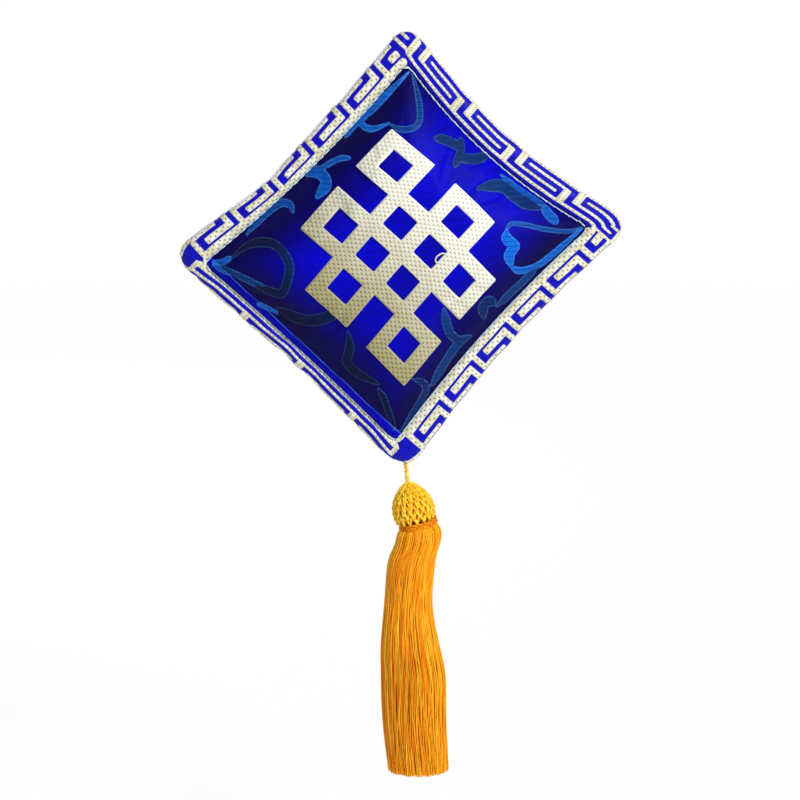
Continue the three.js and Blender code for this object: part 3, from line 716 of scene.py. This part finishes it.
# Borders: one woven cloth cut in two directions, so the fret's lines are thick on two sides and thin on two
borders = {
    "names": ("upper_right", "lower_right", "lower_left", "upper_left"),
    "cut": ("across", "along", "under", "along"),
    "barAt": (25.4, 14.5, 20.3, 19.7),  # mm from the side's first corner, going clockwise
    "way": (-1, -1, 1, 1),
    "steps": (132, 30), "square": 0.62, "relief": 0.2, "reliefEdge": (-0.25, 0.15), "rounding": 0.3,
    "slack": 0.012, "pressure": 3.0, "most": 0.2, "held": (0.005, 0.01), "tuckRun": 0.9,
    "slant": 0.7, "float": (2.0, 0.85), "lap": 1.007, "sectionSteps": 2001, "lineSteps": 801,
    "lumps": ((0.1, 38, 1), (0.06, 61, 2)),  # height, how often, shift from side to side
    "cornerRun": {0: (4.0, 10.0), 2: (7.0, 16.0)}, "fan": (1.3, 1.36), "barReach": 9.0, "barLap": 0.1,
    "drawn": ((1.4, 1.2), (1.0, 1.2), (0.8, 0.5), (1.4, 0.9)),  # the stitches pull each side's edge in
    "dent": (3, 0.355, 0.13, 1.2),      # and once more at this share of the upper left side
    "block": (0, 8.1, 0, 6.4),          # plain blue ends beside the bottom and left corners
    "blockStart": -9.0, "blockOut": (1.2, 7.6), "blockLap": 0.5, "lapped": 2.9,
}
frets = {  # mm out from the seam and along the side
    "along": {"stripes": ((-2.0, 2.5),), "base": 2.2, "inner": (3.2, 5.3), "outer": (6.7, 8.2), "bar": 1.5,
              "period": 13.3, "gap": 1.4, "free": 2.0, "stretch": 1.0},
    "across": {"stripes": ((1.7, 2.6), (8.7, 9.7)), "base": 2.15, "inner": (3.95, 4.75),
               "outer": (6.25, 7.15), "bar": 2.0, "period": 18.1, "gap": 1.7, "free": 1.2, "stretch": 1.6},
    "under": {"stripes": ((-2.0, 0.75), (2.0, 2.85), (7.9, 8.9)), "base": 2.7, "inner": (4.2, 5.2),
              "outer": (6.3, 7.2), "bar": 2.2, "period": 19.2, "gap": 1.7, "free": 1.2, "stretch": 1.6},
}


def fretDistance(run, out, edge, fret):
    period, bar, gap, free = fret["period"], fret["bar"], fret["gap"], fret["free"]
    inner, outer = fret["inner"], fret["outer"]
    last = period - gap
    boxes = [(0, bar, fret["base"], outer[1]), (0, last - bar - free, outer[0], outer[1]),
             (bar + free, last, inner[0], inner[1]), (last - bar, last, inner[0], edge)]
    least = np.full(run.shape, farAway)
    for low, high in fret["stripes"]:
        least = np.minimum(least, np.maximum(low - out, out - high))
    here = run % period
    soft = borders["rounding"]
    for turn in (-period, 0, period):
        for left, right, low, high in boxes:
            box = boxDistance(here + turn, out, left + soft, right - soft, low + soft, high - soft) - soft
            least = np.minimum(least, box)
    return least


def sideRun(k, places):  # mm along a side's straight line from its two corners, and mm out from its seam
    sharp = sharpCorners()
    start, end = sharp[k], sharp[(k + 1) % 4]
    way, inward = sideWays(start, end)
    aside = places[:, [0, 2]] + topTip - start
    run = aside @ way
    return run, np.linalg.norm(end - start) - run, pouch["border"][k] - aside @ inward


def endBlock(k, places, out):  # distance into the plain end of a side, and how far beyond it
    fromEnd = sideRun(k, places)[1 if k == 1 else 0]
    start, end = borders["blockStart"], borders["block"][k]
    return -boxDistance(fromEnd, out, start, end, *borders["blockOut"]), fromEnd - end


def fretOnSide(k, places, out, edge):
    fret = frets[borders["cut"][k]]
    run = (sideRun(k, places)[0] - borders["barAt"][k]) * borders["way"][k]
    slant = 0.0 if borders["cut"][k] == "along" else borders["slant"]
    return fretDistance(run, out, edge, fret), (run + slant * out) * fret["stretch"], out


def borderSection(reach):  # out, depth and run of the tape from front seam round to back seam
    angle = np.linspace(math.pi / 2, -math.pi / 2, borders["sectionSteps"])
    out = np.abs(np.cos(angle)) ** borders["square"]
    depth = np.sign(np.sin(angle)) * np.abs(np.sin(angle)) ** borders["square"] * pouch["seamDepth"]
    return out, depth, lengthRun(np.column_stack([out * reach, depth]))


def upperRun(places):  # run of the upper right tape, also where it lies over the ends of the next sides
    reach = pouch["border"][0] + pouch["slit"] / 2
    out, depth, run = borderSection(reach)
    front = depth >= 0
    return np.interp(sideRun(0, places)[2], out[front] * reach, run[front])


def borderFret(k, places, around, wide):  # distance to the cream, and the weave's own two coordinates
    folded = np.minimum(around, wide - around)
    atSide, fromEnd, fromSeam = sideRun(k, places)
    if k == 0:  # lines run straight on at the top corner
        upper = upperRun(places)
        folded = upper + (folded - upper) * smoothStep(atSide, *borders["cornerRun"][k])
    if k == 2:  # and at both ends of this side
        share = smoothStep(np.minimum(atSide, fromEnd), *borders["cornerRun"][k])
        folded = fromSeam + (folded - fromSeam) * share
    inside, weaveAlong, weaveOut = fretOnSide(k, places, folded, wide / 2 + borders["barLap"])
    if k == 2:
        for side in (1, 3):  # the plain ends of the next sides lie over this one's inner lines
            out = sideRun(side, places)[2]
            block, beyond = endBlock(side, places, out)
            covers = (out > 0) & (beyond < borders["blockLap"]) & (folded < borders["lapped"])
            inside = np.where(covers, block, inside)
    if borders["cut"][k] != "along":
        return inside, weaveAlong, weaveOut
    block, beyond = endBlock(k, places, folded)
    inside = np.where(beyond < borders["blockLap"], block, inside)
    fromSeam = sideRun(0, places)[2]  # the upper right strip lies over this one's other end
    upper = upperRun(places)
    if k == 1:  # its lines fan out round this corner
        shift, fan = borders["fan"]
        upper = (fromSeam + shift) * fan
    over = fretOnSide(0, places, upper, fromSeam + borders["barReach"])
    under = (inside, weaveAlong, weaveOut)
    return [np.where(fromSeam > 0, above, below) for above, below in zip(over, under)]


def borderPiece(k, finish):
    piece, gridX, gridY = gridPiece("border_tape_" + borders["names"][k], borders["steps"])
    t, share = (gridX * borders["lap"] + 1) / 2, (gridY + 1) / 2  # ends lap over at the corners
    out, depth, run = borderSection(pouch["border"][k] + pouch["slit"] / 2)
    around = share * run[-1]
    outHere, depthHere = np.interp(around, run, out), np.interp(around, run, depth)
    tucked = 1 - smoothStep(np.minimum(around, run[-1] - around), 0.0, borders["tuckRun"])
    depthHere = depthHere - np.sign(depthHere) * pouch["tuck"] * tucked
    sewn, edge = stitchLine(k, t), edgeLine(k, t)
    fromCorner = np.sin(math.pi * np.clip(t, 0, 1))
    pull, spread = borders["drawn"][k]
    lumps = sum(high * np.sin(t * often + shift * k) for high, often, shift in borders["lumps"])
    lumps = lumps * fromCorner ** 0.5 - pull * fromCorner ** spread
    side, at, wide, deep = borders["dent"]
    if k == side:
        lumps = lumps - deep * np.exp(-((t - at) / wide) ** 2)
    outward = (edge - sewn) / np.linalg.norm(edge - sewn, axis=1, keepdims=True)
    spot = sewn + (edge - sewn + outward * lumps[:, None]) * outHere[:, None] - topTip
    writePlaces(piece, np.column_stack([spot[:, 0], -depthHere, spot[:, 1]]))
    setValues(piece, around=around)
    nearEnd, nearSeam = borders["held"]
    held = (np.minimum(t, 1 - t) < nearEnd) | (np.minimum(share, 1 - share) < nearSeam)
    puffUp(piece, held, borders["pressure"], borders["slack"], borders["most"])
    applied(piece, "SUBSURF", levels=1, render_levels=1)
    inside, along, around = borderFret(k, readPlaces(piece), readValues(piece, "around"), run[-1])
    setValues(piece, fret=inside, along=along, around=around)
    raiseBy(piece, -borders["relief"] * smoothStep(inside, *borders["reliefEdge"]))
    dress(piece, finish, "pouch")
    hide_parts("border_" + borders["names"][k])
    t = np.linspace(0, 1, borders["lineSteps"])
    length = lengthRun((seamLine(k, t) + edgeLine(k, t)) / 2)[-1]
    return piece, (float(length) * mm, float(run[-1]) * mm)


borderLook = borderFinish()
borderTapes = [borderPiece(k, borderLook) for k in range(4)]
print("borders folded round the edge")

# Stitches in the crease between panel and borders
stitches = {"every": 2.3, "length": 2.1, "thickness": 0.36, "slant": 0.12, "proud": -0.1, "sink": 0.5,
            "ahead": 0.2, "shares": (-1.0, -0.6, 0.0, 0.6, 1.0)}


def stitchPiece(name, front, node):
    routes = []
    for k in range(4):
        line = stitchLine(k, np.linspace(0, 1, borders["lineSteps"])) - topTip
        run = lengthRun(line)
        for at in np.arange(stitches["every"] / 2, run[-1], stitches["every"]):
            here, ahead = (np.array([np.interp(spot, run, column) for column in line.T])
                           for spot in (at, at + stitches["ahead"]))
            way, inward = sideWays(here, ahead)
            route = []
            for share in stitches["shares"]:
                spot = here + way * share * stitches["length"] / 2 + inward * share * stitches["slant"] / 2
                depth = pouch["seamDepth"] + stitches["proud"] - stitches["sink"] * share ** 2
                route.append((spot[0], -depth if front else depth, spot[1]))
            routes.append(route)
    piece = threadPiece(name, routes, stitches["thickness"], 6)
    dress(piece, yarnFinish("seam"), "pouch")
    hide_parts(node)
    return piece


frontStitches = stitchPiece("front_stitches", True, "front_seam_thread")
backStitches = stitchPiece("back_stitches", False, "back_seam_thread")
print("seams stitched")

# Stuffing: two halves with a bed for the folded paper
stuffing = {"shrink": 0.95, "rim": 0.15, "crown": 10.2, "swell": 1.1, "steps": 40, "tuft": 0.15,
            "tufts": (0.9, 0.8), "bedGap": 0.3, "bedEdge": (0.8, 4.0), "bedShare": 0.99, "weld": 0.02}


def waddingPiece(name, front, node, finish):
    side = -1 if front else 1
    low, high = (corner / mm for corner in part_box("amulet_tie"))
    paperLow, paperHigh = (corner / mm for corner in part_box("amulet_paper"))
    halves = []
    for outer in (True, False):
        piece, gridX, gridY = gridPiece(name, (stuffing["steps"], stuffing["steps"]))
        u, v = (gridY, gridX) if (front == outer) else (gridX, gridY)
        spot, share = panelPlace(u, v, stuffing["shrink"])
        x, z = spot.T
        if outer:
            often, oftenDown = stuffing["tufts"]
            lumps = np.sin(x * often + 1.0) * np.sin(z * oftenDown) * stuffing["tuft"]
            depth = (stuffing["crown"] + lumps) * fullness(u) * fullness(v)
            depth += stuffing["rim"] + stuffing["swell"] * (1 - share ** 4)
        else:
            edge = boxDistance(x, z, paperLow[0], paperHigh[0], low[2], high[2])
            bed = (stuffing["bedGap"] - low[1]) * (1 - smoothStep(edge, *stuffing["bedEdge"]))
            depth = stuffing["rim"] + np.maximum(0, bed - stuffing["rim"]) * (share < stuffing["bedShare"])
        writePlaces(piece, np.column_stack([x, side * depth, z]))
        halves.append(piece)
    activate(*halves)
    bpy.ops.object.join()
    bpy.ops.object.mode_set(mode="EDIT")
    bpy.ops.mesh.select_all(action="SELECT")
    bpy.ops.mesh.remove_doubles(threshold=stuffing["weld"] * mm)
    bpy.ops.mesh.normals_make_consistent(inside=False)
    bpy.ops.object.mode_set(mode="OBJECT")
    piece = bpy.context.active_object
    dress(piece, finish, "pouch")
    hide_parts(node)


cottonLook = plainFinish("cotton wadding", paint(244, 241, 232), paint(220, 214, 200), 0.5, 0.85, 0.3)
waddingPiece("stuffing_front", True, "wadding_front", cottonLook)
waddingPiece("stuffing_back", False, "wadding_back", cottonLook)
print("stuffing in place")

# The folded paper stays a solid, and a thread is wound round it
tie = {"thickness": 0.5, "turns": 6, "steps": 32, "flat": (1.6, 1.06)}  # flat: how squarely it is wound


def tiePiece():
    low, high = (np.array(corner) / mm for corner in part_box("amulet_tie"))
    turns = np.linspace(0, tie["turns"], tie["turns"] * tie["steps"] + 1)
    angle = 2 * math.pi * turns
    flatY, flatZ = tie["flat"]
    ways = np.column_stack([2 * turns / tie["turns"] - 1, np.clip(flatY * np.sin(angle), -1, 1),
                            np.clip(flatZ * np.cos(angle), -1, 1)])
    route = (low + high) / 2 + ways * ((high - low) / 2 - tie["thickness"] / 2)
    piece = threadPiece("paper_tie_thread", [route], tie["thickness"], 8)
    dress(piece, yarnFinish("tie"), "pouch")
    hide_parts("amulet_tie")


tiePiece()
paperLook = plainFinish("folded paper", paint(222, 206, 164), paint(196, 176, 130),
                        (0.3, 2.0, 0.3), 0.75, 0.1)
woodLook = plainFinish("dyed bead wood", paint(250, 160, 32), paint(214, 112, 14),
                       (1.5, 1.5, 0.25), 0.5, 0.1)
for node, finish in (("amulet_paper", paperLook), ("head_bead", woodLook)):
    solid = bpy.data.objects[node]
    solid.data.materials.clear()
    solid.data.materials.append(finish)
print("paper and bead finished")

# Tassel head: where it hangs below the cord's lower bend
head = {"wide": 11.55, "upper": 7.0, "lower": 6.0, "top": 1.0, "lean": 12.0}
bends = {joint["name"]: Vector(joint["pos_m"]) / mm for joint in frame["record"]["behaviour"]["joints"]}
upperBend, lowerBend = bends["tassel_swing"], bends["tassel_tilt"]
headTop = np.array(lowerBend) - (0, 0, head["top"])


def leaned(places):  # the head has come to hang a little askew, its top to the left
    middle = headTop - (0, 0, head["upper"])
    turn = math.radians(head["lean"])
    aside = np.asarray(places) - middle
    return middle + np.column_stack([aside[:, 0] * math.cos(turn) - aside[:, 2] * math.sin(turn), aside[:, 1],
                                     aside[:, 0] * math.sin(turn) + aside[:, 2] * math.cos(turn)])


# Cord: three twisted plies from the knot inside the corner to the knot below the bead
cord = {"plies": 3, "ply": 0.56, "lay": 3.2, "laySpread": 0.32, "steps": 90, "bend": 1.0, "blend": 0.9,
        "stop": 3.0, "stopSteps": 60, "stopDepth": 0.8}


def twisted(route, steps, spread, lay, plies):
    route = spline(route, steps)
    way = np.gradient(route, axis=0)
    way /= np.linalg.norm(way, axis=1, keepdims=True)
    run = lengthRun(route)
    first = np.cross(way, (0.0, 1.0, 0.0))
    first /= np.linalg.norm(first, axis=1, keepdims=True)
    second = np.cross(way, first)
    strands = []
    for ply in range(plies):
        angle = (2 * math.pi * (run / lay + ply / plies))[:, None]
        strands.append(route + (first * np.cos(angle) + second * np.sin(angle)) * spread)
    return strands


def stopKnot(middle, size):  # a round overhand knot
    angle = np.linspace(0, 2 * math.pi, cord["stopSteps"])
    radius = size / 2 - cord["ply"] / 2
    flat = (2 + np.cos(3 * angle)) / 3
    route = np.column_stack([flat * np.cos(2 * angle), np.sin(3 * angle) * cord["stopDepth"],
                             flat * np.sin(2 * angle)])
    return np.array(middle) + route * radius


def cordPieces():
    look = yarnFinish("cord")
    knotLow, knotHigh = (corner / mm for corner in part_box("corner_knot"))
    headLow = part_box("head_cord")[0] / mm
    up, down = np.array(upperBend), np.array(lowerBend)
    crown = leaned([headTop])[0]
    middle = (up + crown) / 2
    knotSize = knotHigh[0] - knotLow[0]
    start = np.array((up[0], 0.0, knotHigh[2] - knotSize / 2))
    end = np.array((down[0], 0.0, headLow[2] + cord["stop"] / 2))
    lean = (down - up) / np.linalg.norm(down - up)
    upper = [start, up + (0, 0, 4.0), up + (0, 0, cord["bend"]), up + lean * cord["bend"] * 0.6, middle]
    lower = [middle, crown + (0, 0, 0.4), leaned([headTop - (0, 0, 2.0)])[0], down - (0, 0, 6.0), end]
    drop = Vector((0, 0, cord["blend"]))
    way = Vector(lean) * cord["blend"]
    for name, route, knotAt, knotWide, bodies, joint, reach, nodes in (
            ("neck_cord_upper", upper, start, knotSize, ("cord_anchor", "cord_link"), upperBend,
             (drop, way), ("corner_knot", "neck_cord")),
            ("neck_cord_lower", lower, end, cord["stop"], ("cord_link", "tassel"), lowerBend,
             (-way, -drop), ("head_cord",))):
        strands = twisted(route, cord["steps"], cord["laySpread"], cord["lay"], cord["plies"])
        strands.append(stopKnot(knotAt, knotWide))
        piece = threadPiece(name, strands, cord["ply"], 8)
        dress(piece, look)
        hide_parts(*nodes)
        tuple((joint + reach[0]) * mm)
        tuple((joint + reach[1]) * mm)
        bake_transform(piece)


cordPieces()
print("cord twisted")

# Net: rows of thread loops, each row hung on the one above it
net = {"columns": 18, "fewest": 6, "rows": 8, "loopSteps": 14, "thread": 0.72, "mouth": 11.0, "neckDrop": 2.2,
       "hang": 1.35, "above": 0.1, "below": 0.2, "weave": 0.2, "pinch": 0.55, "uneven": 0.5,
       "peak": (0.9, 0.45)}


def netPiece():
    last = math.degrees(math.acos(-net["neckDrop"] / head["lower"]))
    rowStep = (last - net["mouth"]) / net["rows"]
    turn = np.linspace(0, 2 * math.pi, net["columns"] * net["loopSteps"], endpoint=False)
    peak, peakWide = net["peak"]
    routes = []
    for row in range(net["rows"]):
        low = math.radians(net["mouth"] + rowStep * (row + 1))
        columns = max(net["fewest"], round(net["columns"] * math.sin(low)))
        wave = turn * columns + math.pi * row + net["uneven"] * np.sin(3 * turn + 2 * row)
        fall = 0.5 - 0.5 * np.cos(wave)
        angle = np.radians(net["mouth"] + rowStep * (row + net["hang"] * fall - net["above"]))
        angle = np.minimum(angle, math.radians(last + rowStep * net["below"]))
        pinch = turn + np.sin(wave) * net["pinch"] / columns  # loops narrow where they hang on the row above
        radius = head["wide"] / 2 * np.sin(angle) - net["thread"] / 2 - net["weave"] * (1 + np.cos(wave))
        height = -head["upper"] + np.where(np.cos(angle) > 0, head["upper"], head["lower"]) * np.cos(angle)
        height = height + peak * np.exp(-(angle / peakWide) ** 2)  # drawn up round the cord
        loops = np.column_stack([radius * np.cos(pinch), radius * np.sin(pinch), height])
        routes.append(leaned(headTop + loops))
    piece = threadPiece("net_loops", routes, net["thread"], 8, closed=True)
    dress(piece, yarnFinish("net"), "tassel")
    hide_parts("net_cap")


netPiece()

# Binding: thread wound round the neck below the net
binding = {"thread": 0.5, "turns": 4.5, "drawn": 0.6, "wide": 1.7, "steps": 220, "wander": (0.14, 1.7)}


def bindingPiece():
    low, high = (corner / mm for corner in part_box("neck_binding"))
    angle = np.linspace(0, 2 * math.pi * binding["turns"], binding["steps"])
    wander, often = binding["wander"]
    radius = (high[0] - low[0]) / 2 - binding["thread"] / 2 - binding["drawn"]
    radius = radius + wander * np.sin(angle * often)
    height = high[2] + binding["thread"] / 2 - binding["wide"] * angle / angle[-1]
    route = np.column_stack([(low[0] + high[0]) / 2 + radius * np.cos(angle), radius * np.sin(angle), height])
    piece = threadPiece("neck_winding", [leaned(route)], binding["thread"], 8)
    dress(piece, yarnFinish("binding"), "tassel")
    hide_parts("neck_binding")


bindingPiece()
print("tassel head netted and bound")

# Skirt: fine silk strands, a piece for each lock and one for the yarn in the middle
# hang: share of the length, sway and half-width in mm
skirt = {
    "locks": 12, "strands": 130, "thread": 0.26, "twist": 14.0, "steps": 32, "hangSteps": 60,
    "hang": ((0.0, 0.9, 4.3), (0.016, 1.1, 4.6), (0.036, 1.3, 5.5), (0.08, 1.1, 5.9), (0.16, -0.6, 6.1),
             (0.33, -1.5, 6.1), (0.48, -1.1, 7.3), (0.62, -0.1, 8.1), (0.8, 0.2, 7.9), (1.0, 1.3, 7.5)),
    "inner": 0.62, "drift": 0.13, "stray": (0.3, -0.6, 0.45), "strayOut": 0.03, "ragged": 0.8,
    "wave": 0.05, "wander": (3, 8), "breathe": (2, 7), "lockSpan": (-0.05, 1.05),
    "coreStrands": 160, "coreThread": 0.5,
}
lockBoxes = [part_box("skirt_lock_%02d" % (n + 1)) for n in range(skirt["locks"])]
skirtTop = max(box[1][2] for box in lockBoxes) / mm
skirtEnd = min(box[0][2] for box in lockBoxes) / mm
skirtMiddle = headTop[0]


def slowWave(share, often):  # grows towards the strand's end
    return skirt["wave"] * np.sin(share * dice.uniform(*often) + dice.uniform(0, 6)) * share


def strandRoute(place, ring):
    share = np.linspace(0, 1, skirt["steps"]) ** 1.4
    down, aside, wide = spline(skirt["hang"], skirt["hangSteps"]).T
    aside, wide = np.interp(share, down, aside), np.interp(share, down, wide)
    often, slant, spread = skirt["stray"]  # some strands lie slantwise over the others
    stray = dice.random() < often
    drift = (dice.gauss(slant, spread) if stray else dice.gauss(0, skirt["drift"])) * share ** 0.8
    turn = place + math.radians(skirt["twist"]) * share + drift + slowWave(share, skirt["wander"])
    reach = wide * (ring + skirt["strayOut"] * stray * ring + slowWave(share, skirt["breathe"]))
    end = skirtEnd + dice.uniform(0, skirt["ragged"])
    sideways = reach * np.cos(turn)
    leaning = sideways * math.sin(math.radians(head["lean"])) * (1 - share) ** 5  # the top follows the head
    height = skirtTop + (end - skirtTop) * share + leaning
    return np.column_stack([skirtMiddle + aside + sideways, reach * np.sin(turn), height])


def hangStrands(name, routes, thread, look, node):
    piece = threadPiece(name, routes, thread, 4)
    each = len(piece.data.vertices) // len(routes)
    setValues(piece, tone=np.repeat([dice.random() for route in routes], each))
    dress(piece, look, "tassel")
    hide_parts(node)


def skirtPieces():
    look = yarnFinish("skirt", tinted=True)
    for n in range(skirt["locks"]):
        routes = []
        for i in range(skirt["strands"]):
            ring = 1.0 - (1.0 - skirt["inner"]) * dice.random() ** 1.6
            place = 2 * math.pi * (n + dice.uniform(*skirt["lockSpan"])) / skirt["locks"]
            routes.append(strandRoute(place, ring))
        number = "%02d" % (n + 1)
        hangStrands("skirt_strands_" + number, routes, skirt["thread"], look, "skirt_lock_" + number)
    routes = [strandRoute(dice.uniform(0, 2 * math.pi), skirt["inner"] * math.sqrt(dice.random()))
              for i in range(skirt["coreStrands"])]
    hangStrands("skirt_inner_strands", routes, skirt["coreThread"], look, "skirt_core")


skirtPieces()
print("skirt hung")

# What the cloths were cut to
panelWide, panelLong = (2 * np.linalg.norm(straightLine(k, 0.5) - panelMiddle) * mm for k in (0, 1))
cutSize = (cover["allowance"] * float(panelWide), cover["allowance"] * float(panelLong))

# Stage: pale floor, white surround and soft studio light
stage = {
    "floorDrop": 0.03, "floorSize": 3.0, "floorGlow": 0.92, "floorFade": (0.5, 1.4), "world": 0.22,
    "lights": (("key", (0.48, -0.62, 0.42), 0.2, 7.8),  # place, size and power
               ("fill", (-0.6, -0.6, 0.1), 0.6, 0.5),
               ("rear", (-0.4, 0.8, 0.3), 0.3, 6.0)),
    "lightAim": (0, 0, -0.08),
}


def stageFloor():
    below = cadBox[0][2] - stage["floorDrop"]
    bpy.ops.mesh.primitive_plane_add(size=stage["floorSize"], location=(0, 0, below))
    floor = bpy.context.active_object
    floor.name = "stage_floor"
    bpy.ops.object.transform_apply(location=True, rotation=False, scale=False)
    finish, wire, shader = newFinish("pale floor", {"Base Color": paint(245, 245, 245), "Roughness": 0.9})
    output = finish.node_tree.nodes["Material Output"]
    glow = wire.node("Emission", {}, {"Color": (1, 1, 1, 1), "Strength": 1.0})
    seen = wire.node("LightPath", out="Is Camera Ray")
    lit = Wire(wire.tree, shader.outputs[0])
    pale = wire.node("MixShader", {}, {0: seen * stage["floorGlow"], 1: lit, 2: glow})
    spot = wire.node("TexCoord", out="Object")
    far = wire.node("VectorMath", {"operation": "LENGTH"}, {0: spot}, out="Value").step(*stage["floorFade"])
    clear = wire.node("BsdfTransparent")
    wire.node("MixShader", {}, {0: far, 1: pale, 2: clear}).into(output, "Surface")
    floor.data.materials.append(finish)


def stageLight():
    world = bpy.data.worlds.new("white surround")
    scene.world = world
    world.use_nodes = True
    wire = Wire(world.node_tree)
    shader = world.node_tree.nodes["Background"]
    camera, glossy, through = (wire.node("LightPath", out="Is %s Ray" % name)
                               for name in ("Camera", "Glossy", "Transmission"))
    white = wire.maths("MAXIMUM", camera, wire.maths("MAXIMUM", glossy, through))
    (stage["world"] + white * (1.0 - stage["world"])).into(shader, "Strength")
    shader.inputs["Color"].default_value = (1, 1, 1, 1)
    for name, place, size, power in stage["lights"]:
        bpy.ops.object.light_add(type="AREA", location=place)
        lamp = bpy.context.active_object
        lamp.name = name + "_light"
        lamp.data.energy, lamp.data.size = power, size
        lamp.rotation_euler = (Vector(place) - Vector(stage["lightAim"])).to_track_quat("Z", "Y").to_euler()


stageFloor()
stageLight()
print("stage lit")
